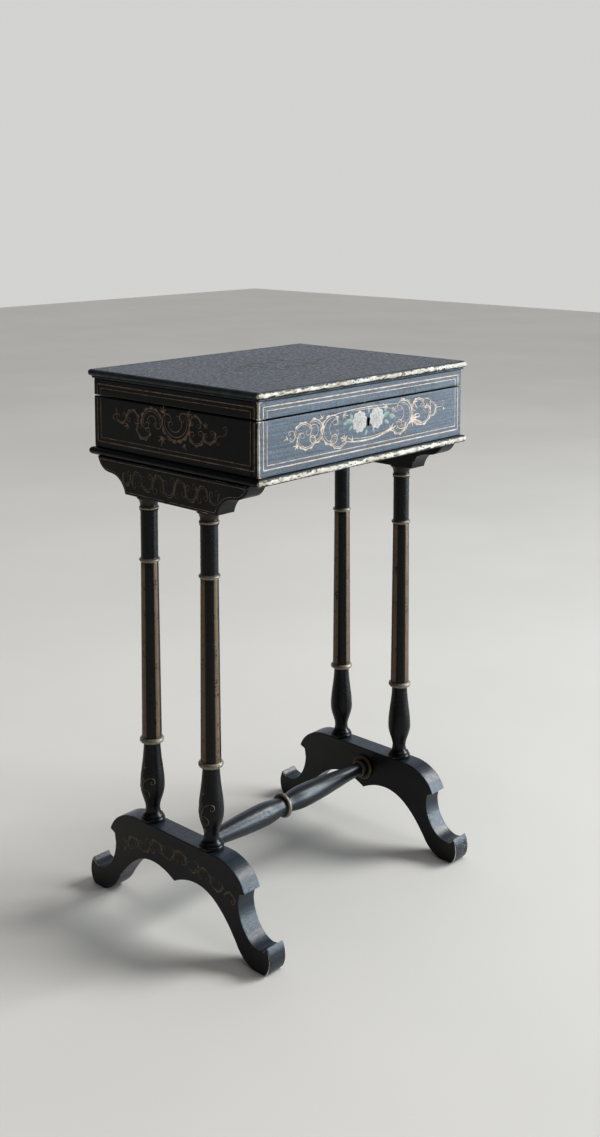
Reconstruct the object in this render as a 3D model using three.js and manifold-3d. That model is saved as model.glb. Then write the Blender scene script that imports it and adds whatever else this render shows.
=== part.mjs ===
// A small lacquered sewing table: two scroll-cut feet, four turned columns, a turned stretcher and a shallow
// box with a hinged lid. Millimetres, +Z up, the front faces -Y, and the floor is z = 0.
import * as THREE from "three";
import { mergeVertices } from "three/addons/utils/BufferGeometryUtils.js";
import Module from "manifold-3d";

const wasm = await Module();
wasm.setup();

// ---- driving dimensions ----
const BUTT_GAP = 0.1; // between two flat faces that meet
const TURNED_GAP = 0.3; // between a round tenon and its mortise
const OVERHANG = 6; // of both nosings past the box faces

const BOX_HALF_WIDTH = 200;
const BOX_HALF_DEPTH = 153;
const SIDE_THICK = 9;
const BACK_THICK = 9;
const FRONT_THICK = 12; // thicker than the other sides, to house the lock

const LEG_X = 190; // centre plane of each foot, apron and pair of columns
const COLUMN_Y = 56.6;
const FOOT_THICK = 29;
const FOOT_TOP = 124;
const APRON_THICK = 31;
const APRON_BOTTOM = 562;
const BASE_BOTTOM = 606;
const BASE_TOP = 616;
const BOX_TOP = 684.5;
const LID_BOTTOM = 686;
const LID_RAIL_TOP = 708;
const FILLET_TOP = 711;
const TABLE_TOP = 720;

const TENON_RADIUS = 9;
const TENON_LENGTH = 24;
const STRETCHER_Z = 95;
const STRETCHER_TENON_RADIUS = 8;
const COLLAR_RADIUS = 18;
const COLLAR_THICK = 4.2;
const FOOT_INNER_X = LEG_X - FOOT_THICK / 2;

const HINGE_X = 120;
const HINGE_HALF_WIDTH = 25;
const HINGE_AXIS_Y = 155.8;
const HINGE_AXIS_Z = (BOX_TOP + LID_BOTTOM) / 2;
const KNUCKLE_RADIUS = 2.6;
const KNUCKLE_SPLIT = 9; // half-width of the middle knuckle, which belongs to the lid
const PIN_RADIUS = 1.2;
const LEAF_THICK = 1.3;

const LOCK_HALF_WIDTH = 26;
const LOCK_FRONT_Y = -149;
const LOCK_BACK_Y = -137.5;
const LOCK_BOTTOM = 652;
const KEYHOLE_Z = 662.4;

const TRAY_BOTTOM_Z = 643;
const TRAY_WALL_TOP = 676;
const TRAY_DIVIDER_TOP = 670;
const TRAY_FLOOR_THICK = 4;
const TRAY_WALL_THICK = 5;
const TRAY_HALF_WIDTH = 190;
const TRAY_FRONT_Y = -136.5;
const TRAY_BACK_Y = 143;
const DIVIDER_X = 95;
const DIVIDER_THICK = 4;

const TURNED_SEGMENTS = 16;

// ---- finishes ----
const FINISHES = {
  lacquer: { color: 0x17161a, roughness: 0.3, metalness: 0 },
  gilding: { color: 0x9a7433, roughness: 0.45, metalness: 0.8 },
  brass: { color: 0xa9843f, roughness: 0.4, metalness: 1 },
  steel: { color: 0x77797c, roughness: 0.4, metalness: 1 },
  mirror: { color: 0xd8dadc, roughness: 0.05, metalness: 1 },
  interior: { color: 0x8a5230, roughness: 0.5, metalness: 0 },
  bone: { color: 0xe6dcc2, roughness: 0.4, metalness: 0 },
};

const table = new THREE.Group();
table.name = "sewing_table";

function addPiece(name, geometry, finish) {
  const mesh = new THREE.Mesh(geometry, new THREE.MeshStandardMaterial(FINISHES[finish]));
  mesh.name = name;
  table.add(mesh);
}

// ---- helpers ----
function board(xLow, xHigh, yLow, yHigh, zLow, zHigh) {
  const geometry = new THREE.BoxGeometry(xHigh - xLow, yHigh - yLow, zHigh - zLow);
  return geometry.translate((xLow + xHigh) / 2, (yLow + yHigh) / 2, (zLow + zHigh) / 2);
}

function toSolid(geometry) {
  const bare = geometry.clone();
  bare.deleteAttribute("normal");
  bare.deleteAttribute("uv");
  const merged = mergeVertices(bare, 1e-4);
  const vertProperties = new Float32Array(merged.attributes.position.array);
  const triVerts = new Uint32Array(merged.index.array);
  return new wasm.Manifold(new wasm.Mesh({ numProp: 3, vertProperties, triVerts }));
}

function toGeometry(solid) {
  const mesh = solid.getMesh();
  const geometry = new THREE.BufferGeometry();
  geometry.setAttribute("position", new THREE.BufferAttribute(new Float32Array(mesh.vertProperties), 3));
  geometry.setIndex(new THREE.BufferAttribute(new Uint32Array(mesh.triVerts), 1));
  geometry.computeVertexNormals();
  return geometry;
}

function join(...geometries) {
  return toGeometry(geometries.map(toSolid).reduce((whole, next) => whole.add(next)));
}

function cut(base, ...tools) {
  return toGeometry(tools.map(toSolid).reduce((whole, next) => whole.subtract(next), toSolid(base)));
}

// A shape drawn in (y, z) and made solid from xLow to xHigh.
function sawnAcrossX(shape, xLow, xHigh, curveSegments) {
  const geometry = new THREE.ExtrudeGeometry(shape, {
    depth: xHigh - xLow,
    bevelEnabled: false,
    curveSegments,
  });
  const alongY = new THREE.Vector3(0, 1, 0);
  const alongZ = new THREE.Vector3(0, 0, 1);
  const alongX = new THREE.Vector3(1, 0, 0);
  geometry.applyMatrix4(new THREE.Matrix4().makeBasis(alongY, alongZ, alongX));
  return geometry.translate(xLow, 0, 0);
}

// A profile of (radius, height) turned about +Z.
function turnedUpright(profile, segments = TURNED_SEGMENTS) {
  return new THREE.LatheGeometry(profile.getPoints(2), segments).rotateX(Math.PI / 2);
}

function rod(radius, length, segments = TURNED_SEGMENTS) {
  return new THREE.CylinderGeometry(radius, radius, length, segments);
}

function uprightRod(radius, x, y, zLow, zHigh) {
  return rod(radius, zHigh - zLow).rotateX(Math.PI / 2).translate(x, y, (zLow + zHigh) / 2);
}

function rodAlongX(radius, xLow, xHigh, y, z, segments = TURNED_SEGMENTS) {
  return rod(radius, xHigh - xLow, segments).rotateZ(Math.PI / 2).translate((xLow + xHigh) / 2, y, z);
}

// A flat board whose four edges are half-round nosings, mitred at the corners.
function nosedBoard(halfWidth, halfDepth, zLow, zHigh) {
  const radius = (zHigh - zLow) / 2;
  const flat = 0.2;
  const flatWidth = halfWidth - radius;
  const flatDepth = halfDepth - radius;
  const outline = new THREE.Shape([
    new THREE.Vector2(-flatWidth, -flatDepth),
    new THREE.Vector2(flatWidth, -flatDepth),
    new THREE.Vector2(flatWidth, flatDepth),
    new THREE.Vector2(-flatWidth, flatDepth),
  ]);
  const geometry = new THREE.ExtrudeGeometry(outline, {
    depth: flat,
    bevelThickness: radius - flat / 2,
    bevelSize: radius,
    bevelSegments: 4,
  });
  return geometry.translate(0, 0, (zLow + zHigh - flat) / 2);
}

// Draws one half of a symmetric outline, then the same half mirrored back to the start. Each step is
// [end] for a straight line or [first control, second control, end] for a curve.
function symmetricShape(start, steps) {
  const shape = new THREE.Shape();
  const draw = (side, points) => {
    const flatList = points.flatMap(([across, up]) => [side * across, up]);
    if (points.length === 1) shape.lineTo(...flatList);
    else shape.bezierCurveTo(...flatList);
  };
  shape.moveTo(...start);
  steps.forEach((step) => draw(1, step));
  for (let i = steps.length - 1; i >= 0; i--) {
    const target = i > 0 ? steps[i - 1].at(-1) : start;
    draw(-1, [...steps[i].slice(0, -1).reverse(), target]);
  }
  return shape;
}

// ---- feet ----
// Half outline, from the cusp of the arch out to the toe and back over the scrolled shoulder.
const FOOT_CUSP = [0, 63];
const FOOT_STEPS = [
  [[12, 70], [26, 75], [42, 75]],
  [[72, 75], [96, 52], [118, 18]],
  [[126, 8], [136, 1], [146, 0]],
  [[164, 0]],
  [[172, 4], [177, 22], [168, 37]],
  [[164, 31], [158, 29], [152, 29]],
  [[134, 31], [119, 52], [118, 75]],
  [[120, 88]],
  [[129, 92]],
  [[122, 112], [100, FOOT_TOP], [78, FOOT_TOP]],
  [[0, FOOT_TOP]],
];

function foot(side) {
  const xCentre = side * LEG_X;
  const blank = sawnAcrossX(
    symmetricShape(FOOT_CUSP, FOOT_STEPS),
    xCentre - FOOT_THICK / 2,
    xCentre + FOOT_THICK / 2,
    5,
  );
  const columnMortises = [-COLUMN_Y, COLUMN_Y].map((y) =>
    uprightRod(TENON_RADIUS + TURNED_GAP, xCentre, y, FOOT_TOP - TENON_LENGTH - 1, FOOT_TOP + 1),
  );
  const innerEnds = [side * (FOOT_INNER_X - 1), side * (FOOT_INNER_X + 10)].sort((a, b) => a - b);
  const stretcherMortise = rodAlongX(STRETCHER_TENON_RADIUS + TURNED_GAP, ...innerEnds, 0, STRETCHER_Z);
  return cut(blank, ...columnMortises, stretcherMortise);
}

// ---- aprons ----
// A hollow arc and then a round arc rise from each end of the straight lower edge to the base board.
const HOLLOW = { y: 115.5, z: 556, radius: 30 };
const ROUND = { y: 117, z: 611, radius: 24.5 };

function apronShape() {
  const top = BASE_BOTTOM - BUTT_GAP;
  const quarter = Math.PI / 2;
  const hollowStart = Math.asin((APRON_BOTTOM - HOLLOW.z) / HOLLOW.radius);
  const roundEnd = Math.asin((top - ROUND.z) / ROUND.radius);
  const shape = new THREE.Shape();
  shape.absarc(HOLLOW.y, HOLLOW.z, HOLLOW.radius, Math.PI - hollowStart, quarter, true);
  shape.absarc(ROUND.y, ROUND.z, ROUND.radius, -quarter, roundEnd, false);
  shape.absarc(-ROUND.y, ROUND.z, ROUND.radius, -Math.PI - roundEnd, -quarter, false);
  shape.absarc(-HOLLOW.y, HOLLOW.z, HOLLOW.radius, quarter, hollowStart, true);
  return shape;
}

function apron(side) {
  const xCentre = side * LEG_X;
  const blank = sawnAcrossX(apronShape(), xCentre - APRON_THICK / 2, xCentre + APRON_THICK / 2, 4);
  const mortises = [-COLUMN_Y, COLUMN_Y].map((y) =>
    uprightRod(TENON_RADIUS + TURNED_GAP, xCentre, y, APRON_BOTTOM - 1, APRON_BOTTOM + TENON_LENGTH + 1),
  );
  return cut(blank, ...mortises);
}

// ---- turned work ----
// A half-round bead standing out from the turned surface.
function bead(profile, innerRadius, height, radius) {
  profile.lineTo(innerRadius, height - radius);
  profile.absarc(innerRadius, height, radius, -Math.PI / 2, Math.PI / 2, false);
}

function columnProfile() {
  const profile = new THREE.Path();
  const low = FOOT_TOP + BUTT_GAP;
  const high = APRON_BOTTOM - BUTT_GAP;
  profile.moveTo(0, low - TENON_LENGTH);
  profile.lineTo(TENON_RADIUS, low - TENON_LENGTH);
  profile.lineTo(TENON_RADIUS, low);
  bead(profile, 13, low + 3, 3);
  profile.lineTo(14, 131.5);
  profile.quadraticCurveTo(10, 133, 9.5, 143);
  profile.bezierCurveTo(10.5, 153, 16.5, 160, 16.5, 173.5);
  profile.bezierCurveTo(16.5, 192, 12, 205, 11, 231);
  bead(profile, 12.4, 235.5, 3.75);
  profile.lineTo(13.1, 239.6);
  profile.lineTo(11.5, 475.8);
  bead(profile, 11.3, 478.6, 2.4);
  profile.lineTo(11.3, 544);
  profile.lineTo(12.8, 545.5);
  profile.lineTo(12.8, 549.5);
  profile.lineTo(11.8, 551);
  profile.quadraticCurveTo(12.6, 557.5, 15.8, 560.2);
  profile.lineTo(15.8, high);
  profile.lineTo(TENON_RADIUS, high);
  profile.lineTo(TENON_RADIUS, high + TENON_LENGTH);
  profile.lineTo(0, high + TENON_LENGTH);
  return profile;
}

// The stretcher as a path of (radius, distance from the middle), from one tenon to the other.
function stretcherProfile() {
  const shoulder = FOOT_INNER_X - COLLAR_THICK - 2 * BUTT_GAP;
  const end = FOOT_INNER_X + 8.5;
  const ringHalf = 3.5;
  const profile = new THREE.Path();
  profile.moveTo(0, -end);
  profile.lineTo(STRETCHER_TENON_RADIUS, -end);
  profile.lineTo(STRETCHER_TENON_RADIUS, -shoulder);
  profile.lineTo(9.5, -shoulder);
  profile.bezierCurveTo(9, -140, 16, -90, 16, -42);
  profile.bezierCurveTo(16, -24, 12.5, -16, 12.5, -ringHalf - 2);
  profile.lineTo(14, -ringHalf);
  profile.absarc(14, 0, ringHalf, -Math.PI / 2, Math.PI / 2, false);
  profile.lineTo(12.5, ringHalf + 2);
  profile.bezierCurveTo(12.5, 16, 16, 24, 16, 42);
  profile.bezierCurveTo(16, 90, 9, 140, 9.5, shoulder);
  profile.lineTo(STRETCHER_TENON_RADIUS, shoulder);
  profile.lineTo(STRETCHER_TENON_RADIUS, end);
  profile.lineTo(0, end);
  return profile;
}

function stretcher() {
  return turnedUpright(stretcherProfile()).rotateY(Math.PI / 2).translate(0, 0, STRETCHER_Z);
}

function stretcherCollar(side) {
  const outer = FOOT_INNER_X - BUTT_GAP;
  const ends = [side * (outer - COLLAR_THICK), side * outer].sort((a, b) => a - b);
  const disc = rodAlongX(COLLAR_RADIUS, ...ends, 0, STRETCHER_Z, 24);
  const bore = rodAlongX(STRETCHER_TENON_RADIUS + TURNED_GAP, ends[0] - 1, ends[1] + 1, 0, STRETCHER_Z);
  return cut(disc, bore);
}

// ---- box ----
// A round hole above a narrow slot, cut along Y.
function keyholeTool(yLow, yHigh) {
  const round = rod(3, yHigh - yLow, 20).translate(0, (yLow + yHigh) / 2, KEYHOLE_Z);
  const slot = board(-2, 2, yLow, yHigh, KEYHOLE_Z - 8, KEYHOLE_Z);
  return join(round, slot);
}

function boxFront() {
  const panel = board(
    -BOX_HALF_WIDTH,
    BOX_HALF_WIDTH,
    -BOX_HALF_DEPTH,
    FRONT_THICK - BOX_HALF_DEPTH,
    BASE_TOP + BUTT_GAP,
    BOX_TOP,
  );
  const lockRecess = board(
    -LOCK_HALF_WIDTH - TURNED_GAP,
    LOCK_HALF_WIDTH + TURNED_GAP,
    LOCK_FRONT_Y - TURNED_GAP,
    LOCK_BACK_Y,
    LOCK_BOTTOM - TURNED_GAP,
    BOX_TOP + 1,
  );
  return cut(panel, keyholeTool(-BOX_HALF_DEPTH - 1, LOCK_FRONT_Y), lockRecess);
}

// The space a flat hinge leaf is let into, in the edge of a back board.
function leafRecess(xCentre, zLow, zHigh) {
  const reach = HINGE_HALF_WIDTH + BUTT_GAP;
  return board(xCentre - reach, xCentre + reach, 144.4, BOX_HALF_DEPTH + 1, zLow, zHigh);
}

function boxBack() {
  const panel = board(
    -BOX_HALF_WIDTH,
    BOX_HALF_WIDTH,
    BOX_HALF_DEPTH - BACK_THICK,
    BOX_HALF_DEPTH,
    BASE_TOP + BUTT_GAP,
    BOX_TOP,
  );
  const recesses = [-HINGE_X, HINGE_X].map((x) =>
    leafRecess(x, BOX_TOP - LEAF_THICK - BUTT_GAP, BOX_TOP + 1),
  );
  return cut(panel, ...recesses);
}

// A side of the box or of the lid, between the front and the back.
function sideBoard(side, zLow, zHigh) {
  const faces = [side * (BOX_HALF_WIDTH - SIDE_THICK), side * BOX_HALF_WIDTH].sort((a, b) => a - b);
  const front = FRONT_THICK - BOX_HALF_DEPTH + BUTT_GAP;
  const back = BOX_HALF_DEPTH - BACK_THICK - BUTT_GAP;
  return board(...faces, front, back, zLow, zHigh);
}

function trayLedge(side) {
  const outer = BOX_HALF_WIDTH - SIDE_THICK - BUTT_GAP;
  const faces = [side * (outer - 5), side * outer].sort((a, b) => a - b);
  return board(...faces, -135, 142, TRAY_BOTTOM_Z - 7, TRAY_BOTTOM_Z - TURNED_GAP);
}

// ---- lock ----
function lockCase() {
  const block = board(
    -LOCK_HALF_WIDTH,
    LOCK_HALF_WIDTH,
    LOCK_FRONT_Y,
    LOCK_BACK_Y,
    LOCK_BOTTOM,
    BOX_TOP - BUTT_GAP,
  );
  const works = board(-15, 15, -147, -139.5, 655, 671.5);
  const keyhole = keyholeTool(LOCK_FRONT_Y - 1, -146);
  const boltChannel = board(-8, 22, -145.3, -142.7, 676.9, 680.6);
  const linkSlot = board(-2.2, 2.2, -147.3, -140.7, 673.2, BOX_TOP + 1);
  const boltFoot = board(8, 14, -145.3, -142.7, 671, 677.5);
  return cut(block, works, keyhole, boltChannel, linkSlot, boltFoot);
}

function lockBolt() {
  return board(3, 20, -144.9, -143.1, 677.3, 680.2);
}

// The plate under the lid rail with the link that drops into the lock.
function linkPlate() {
  const plate = board(-12, 12, -149, -141.2, LID_BOTTOM, LID_BOTTOM + LEAF_THICK);
  const blade = board(-1.5, 1.5, -146.8, -141.2, 674, LID_BOTTOM + 0.5);
  const eye = board(-3, 3, -145.4, -142.6, 676.5, 681);
  return cut(join(plate, blade), eye);
}

// ---- hinges ----
function knuckle(xLow, xHigh) {
  return rodAlongX(KNUCKLE_RADIUS, xLow, xHigh, HINGE_AXIS_Y, HINGE_AXIS_Z);
}

function pinBore(xCentre) {
  const reach = HINGE_HALF_WIDTH + 1;
  return rodAlongX(PIN_RADIUS + TURNED_GAP, xCentre - reach, xCentre + reach, HINGE_AXIS_Y, HINGE_AXIS_Z, 12);
}

function hingeBoxLeaf(xCentre) {
  const zLow = BOX_TOP - LEAF_THICK;
  const left = xCentre - HINGE_HALF_WIDTH;
  const right = xCentre + HINGE_HALF_WIDTH;
  const leaf = board(left, right, 145, HINGE_AXIS_Y, zLow, BOX_TOP);
  const notch = board(
    xCentre - KNUCKLE_SPLIT,
    xCentre + KNUCKLE_SPLIT,
    HINGE_AXIS_Y - KNUCKLE_RADIUS - TURNED_GAP,
    HINGE_AXIS_Y + 5,
    zLow - 1,
    BOX_TOP + 1,
  );
  const leftKnuckle = knuckle(left, xCentre - KNUCKLE_SPLIT);
  const rightKnuckle = knuckle(xCentre + KNUCKLE_SPLIT, right);
  const knuckles = join(leaf, leftKnuckle, rightKnuckle);
  return cut(knuckles, notch, pinBore(xCentre));
}

function hingeLidLeaf(xCentre) {
  const zHigh = LID_BOTTOM + LEAF_THICK;
  const split = KNUCKLE_SPLIT - TURNED_GAP;
  const leaf = board(
    xCentre - HINGE_HALF_WIDTH,
    xCentre + HINGE_HALF_WIDTH,
    145,
    HINGE_AXIS_Y - KNUCKLE_RADIUS - TURNED_GAP,
    LID_BOTTOM,
    zHigh,
  );
  const tongue = board(xCentre - split, xCentre + split, 150, HINGE_AXIS_Y, LID_BOTTOM, zHigh);
  return cut(join(leaf, tongue, knuckle(xCentre - split, xCentre + split)), pinBore(xCentre));
}

function hingePin(xCentre) {
  const reach = HINGE_HALF_WIDTH + 0.8;
  return rodAlongX(PIN_RADIUS, xCentre - reach, xCentre + reach, HINGE_AXIS_Y, HINGE_AXIS_Z, 12);
}

// ---- lid ----
function lidTop() {
  const zLow = FILLET_TOP - 0.01;
  const top = nosedBoard(BOX_HALF_WIDTH + OVERHANG, BOX_HALF_DEPTH + OVERHANG, zLow, TABLE_TOP);
  const width = BOX_HALF_WIDTH + 2;
  const depth = BOX_HALF_DEPTH + 2;
  const fillet = board(-width, width, -depth, depth, LID_RAIL_TOP + BUTT_GAP, FILLET_TOP + 1);
  return join(top, fillet);
}

function lidRailFront() {
  const rail = board(
    -BOX_HALF_WIDTH,
    BOX_HALF_WIDTH,
    -BOX_HALF_DEPTH,
    FRONT_THICK - BOX_HALF_DEPTH,
    LID_BOTTOM,
    LID_RAIL_TOP,
  );
  const plateRecess = board(-12.1, 12.1, -149.1, -140, LID_BOTTOM - 1, LID_BOTTOM + LEAF_THICK + BUTT_GAP);
  return cut(rail, plateRecess);
}

function lidRailBack() {
  const rail = board(
    -BOX_HALF_WIDTH,
    BOX_HALF_WIDTH,
    BOX_HALF_DEPTH - BACK_THICK,
    BOX_HALF_DEPTH,
    LID_BOTTOM,
    LID_RAIL_TOP,
  );
  const recesses = [-HINGE_X, HINGE_X].map((x) =>
    leafRecess(x, LID_BOTTOM - 1, LID_BOTTOM + LEAF_THICK + BUTT_GAP),
  );
  return cut(rail, ...recesses);
}

const MIRROR_BOTTOM = 705;

function lidMirror() {
  return board(-187, 187, -137, 140, MIRROR_BOTTOM, LID_RAIL_TOP);
}

// The beading that holds the mirror up against the lid.
function mirrorBead() {
  const outer = board(-190.7, 190.7, -140.7, 143.7, MIRROR_BOTTOM - 4, MIRROR_BOTTOM - BUTT_GAP);
  const opening = board(-181, 181, -131, 134, MIRROR_BOTTOM - 5, MIRROR_BOTTOM + 1);
  return cut(outer, opening);
}

// ---- tray ----
const TRAY_FLOOR_TOP = TRAY_BOTTOM_Z + TRAY_FLOOR_THICK;
const TRAY_INNER_FRONT = TRAY_FRONT_Y + TRAY_WALL_THICK + BUTT_GAP;
const TRAY_INNER_BACK = TRAY_BACK_Y - TRAY_WALL_THICK - BUTT_GAP;

function trayWallAcross(yLow) {
  const reach = TRAY_HALF_WIDTH;
  return board(-reach, reach, yLow, yLow + TRAY_WALL_THICK, TRAY_FLOOR_TOP + BUTT_GAP, TRAY_WALL_TOP);
}

function trayWallAlong(side) {
  const faces = [side * (TRAY_HALF_WIDTH - TRAY_WALL_THICK), side * TRAY_HALF_WIDTH].sort((a, b) => a - b);
  return board(...faces, TRAY_INNER_FRONT, TRAY_INNER_BACK, TRAY_FLOOR_TOP + BUTT_GAP, TRAY_WALL_TOP);
}

function divider(xLow, xHigh, yLow, yHigh) {
  return board(xLow, xHigh, yLow, yHigh, TRAY_FLOOR_TOP + BUTT_GAP, TRAY_DIVIDER_TOP);
}

function longDivider(side) {
  const x = side * DIVIDER_X;
  return divider(x - DIVIDER_THICK / 2, x + DIVIDER_THICK / 2, TRAY_INNER_FRONT, TRAY_INNER_BACK);
}

function crossDivider(xLow, xHigh, y) {
  const half = DIVIDER_THICK / 2;
  return divider(xLow + BUTT_GAP, xHigh - BUTT_GAP, y - half, y + half);
}

function trayKnob(side) {
  const profile = new THREE.Path();
  const foot = TRAY_DIVIDER_TOP + BUTT_GAP;
  profile.moveTo(0, foot);
  profile.lineTo(1.8, foot);
  profile.lineTo(1.6, foot + 2);
  profile.absarc(0, foot + 5, 3.6, -Math.PI * 0.3, Math.PI / 2, false);
  return turnedUpright(profile, 12).translate(side * DIVIDER_X, 3, 0);
}

// ---- assembly ----
const SIDES = [["left", -1], ["right", 1]];
const ENDS = [["front", -1], ["back", 1]];

for (const [sideName, side] of SIDES) {
  addPiece(`foot_${sideName}`, foot(side), "lacquer");
  addPiece(`apron_${sideName}`, apron(side), "lacquer");
  addPiece(`stretcher_collar_${sideName}`, stretcherCollar(side), "gilding");
  addPiece(`box_${sideName}`, sideBoard(side, BASE_TOP + BUTT_GAP, BOX_TOP), "lacquer");
  addPiece(`lid_rail_${sideName}`, sideBoard(side, LID_BOTTOM, LID_RAIL_TOP), "lacquer");
  addPiece(`tray_ledge_${sideName}`, trayLedge(side), "interior");
  addPiece(`hinge_box_leaf_${sideName}`, hingeBoxLeaf(side * HINGE_X), "brass");
  addPiece(`hinge_lid_leaf_${sideName}`, hingeLidLeaf(side * HINGE_X), "brass");
  addPiece(`hinge_pin_${sideName}`, hingePin(side * HINGE_X), "steel");
  addPiece(`tray_wall_${sideName}`, trayWallAlong(side), "interior");
  addPiece(`tray_long_divider_${sideName}`, longDivider(side), "interior");
  addPiece(`tray_knob_${sideName}`, trayKnob(side), "bone");
  for (const [endName, end] of ENDS) {
    const column = turnedUpright(columnProfile()).translate(side * LEG_X, end * COLUMN_Y, 0);
    addPiece(`column_${endName}_${sideName}`, column, "lacquer");
  }
}

const innerWall = TRAY_HALF_WIDTH - TRAY_WALL_THICK;
const dividerFace = DIVIDER_X + DIVIDER_THICK / 2;
const centreFace = DIVIDER_X - DIVIDER_THICK / 2;
const base = nosedBoard(BOX_HALF_WIDTH + OVERHANG, BOX_HALF_DEPTH + OVERHANG, BASE_BOTTOM, BASE_TOP);
addPiece("stretcher", stretcher(), "lacquer");
addPiece("base_board", base, "lacquer");
addPiece("box_front", boxFront(), "lacquer");
addPiece("box_back", boxBack(), "lacquer");
addPiece("lid_rail_front", lidRailFront(), "lacquer");
addPiece("lid_rail_back", lidRailBack(), "lacquer");
addPiece("lid_top", lidTop(), "lacquer");
addPiece("lid_mirror", lidMirror(), "mirror");
addPiece("mirror_bead", mirrorBead(), "gilding");
addPiece("lock_case", lockCase(), "brass");
addPiece("lock_bolt", lockBolt(), "steel");
addPiece("link_plate", linkPlate(), "brass");
addPiece(
  "tray_floor",
  board(-TRAY_HALF_WIDTH, TRAY_HALF_WIDTH, TRAY_FRONT_Y, TRAY_BACK_Y, TRAY_BOTTOM_Z, TRAY_FLOOR_TOP),
  "interior",
);
addPiece("tray_wall_front", trayWallAcross(TRAY_FRONT_Y), "interior");
addPiece("tray_wall_back", trayWallAcross(TRAY_BACK_Y - TRAY_WALL_THICK), "interior");
addPiece("tray_cross_divider_left", crossDivider(-innerWall, -dividerFace, 3), "interior");
addPiece("tray_cross_divider_right", crossDivider(dividerFace, innerWall, 3), "interior");
addPiece("tray_cross_divider_front", crossDivider(-centreFace, centreFace, -50), "interior");
addPiece("tray_cross_divider_back", crossDivider(-centreFace, centreFace, 56), "interior");

export default table;
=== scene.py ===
import math
from collections import namedtuple

import bpy
import numpy as np
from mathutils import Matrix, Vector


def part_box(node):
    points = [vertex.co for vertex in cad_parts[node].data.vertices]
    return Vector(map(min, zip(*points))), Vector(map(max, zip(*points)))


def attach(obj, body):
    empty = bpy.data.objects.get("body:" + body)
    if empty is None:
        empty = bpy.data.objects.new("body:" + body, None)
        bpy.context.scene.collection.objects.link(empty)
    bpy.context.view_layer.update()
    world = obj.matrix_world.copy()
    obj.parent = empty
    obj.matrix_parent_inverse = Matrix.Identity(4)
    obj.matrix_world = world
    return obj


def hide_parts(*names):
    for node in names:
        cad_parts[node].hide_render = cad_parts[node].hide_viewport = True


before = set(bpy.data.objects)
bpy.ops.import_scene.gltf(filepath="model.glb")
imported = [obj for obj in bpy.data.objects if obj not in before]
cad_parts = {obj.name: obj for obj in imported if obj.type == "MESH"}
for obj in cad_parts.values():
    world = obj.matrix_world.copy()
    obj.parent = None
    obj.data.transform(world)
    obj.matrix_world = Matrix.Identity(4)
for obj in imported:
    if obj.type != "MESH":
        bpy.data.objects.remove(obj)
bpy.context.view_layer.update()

bl_info = {
    "name": "Sewing Table",
    "version": (1, 0, 0),
    "blender": (4, 5, 0),
    "location": "3D View > Sidebar > Sewing Table",
    "description": "Builds a black lacquered sewing table with gilt scrollwork around its frame",
    "category": "Mesh",
}

MM = 0.001
SIDES = (("left", -1), ("right", 1))
ENDS = ("front", "back")

# Edges that bend by more than this are shaded as creases.
SHARP_DEGREES = 38
# Rounding of the edges of lacquered boards and of the tray's thin boards, in millimetres.
BOARD_EDGE = 1.4
TRAY_EDGE = 0.6
# How far raised paint goes below its surface, and how much lower the top's field lies than its nosing.
SUNK = 0.12
MOTIF_DEPTH = 0.2
# Distance of the front's face from the table's middle.
FRONT_FACE = 153

# Grey of dust, and on faces marked lit also of painted sheen.
DUST_AND_SHEEN_GREY = (0.34, 0.33, 0.31, 1)
CRACK_BLACK = (0.003, 0.003, 0.003, 1)
OLD_GROUND = (0.36, 0.29, 0.2, 1)
RUBBED_GOLD = (0.13, 0.09, 0.055, 1)


# ---- settings

class TableSizes(bpy.types.PropertyGroup):
    """Sizes a user may change without leaving the frame."""

    edge_radius: bpy.props.FloatProperty(
        name="Edge radius", description="Rounding of the sawn edges of feet and aprons",
        default=0.0011, unit="LENGTH")
    chip_depth: bpy.props.FloatProperty(
        name="Chip depth", description="Deepest chip knocked out of the front nosings",
        default=0.0009, unit="LENGTH")
    paint_height: bpy.props.FloatProperty(
        name="Paint height", description="How far the raised gilding stands off the lacquer",
        default=0.00022, unit="LENGTH")
    turned_segments: bpy.props.IntProperty(
        name="Turned segments", description="Facets round each turned piece", default=112)


class TableColours(bpy.types.PropertyGroup):
    """Colours a user may change."""

    lacquer: bpy.props.FloatVectorProperty(
        name="Lacquer", description="The black lacquer", subtype="COLOR", default=(0.0045, 0.0045, 0.005))
    # Painted sheen: a blue-grey tint mixed into the black lacquer's colour to stand for the window's
    # reflection.
    painted_sheen: bpy.props.FloatVectorProperty(
        name="Haze", description="Blue-grey bloom on the front", subtype="COLOR",
        default=(0.075, 0.108, 0.152))
    gilt: bpy.props.FloatVectorProperty(
        name="Gilt", description="Old gilding", subtype="COLOR", default=(0.33, 0.235, 0.155))
    # Painted light: the front's gilding is a paler copy of the old gilding, lightened to stand for the
    # window's reflection on the front.
    window_lit_gilt: bpy.props.FloatVectorProperty(
        name="Pale gilt", description="Faded gilding of the front", subtype="COLOR", default=(0.5, 0.4, 0.32))
    ring_gilt: bpy.props.FloatVectorProperty(
        name="Ring gilt", description="Paler gilding of the turned rings", subtype="COLOR",
        default=(0.31, 0.275, 0.225))
    bare_edge: bpy.props.FloatVectorProperty(
        name="Bare edge", description="Ground laid bare where lacquer is chipped", subtype="COLOR",
        default=(0.8, 0.76, 0.68))
    hardwood: bpy.props.FloatVectorProperty(
        name="Hardwood", description="Inner tray and ledges", subtype="COLOR", default=(0.2, 0.075, 0.03))


class StageSettings(bpy.types.PropertyGroup):
    """The floor, lights and camera."""

    floor: bpy.props.FloatVectorProperty(
        name="Floor", description="Plain pale floor", subtype="COLOR", default=(0.66, 0.63, 0.58))
    lens: bpy.props.FloatProperty(name="Lens", description="Focal length in millimetres", default=42.7)


def sizes():
    return bpy.context.scene.table_sizes


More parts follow.
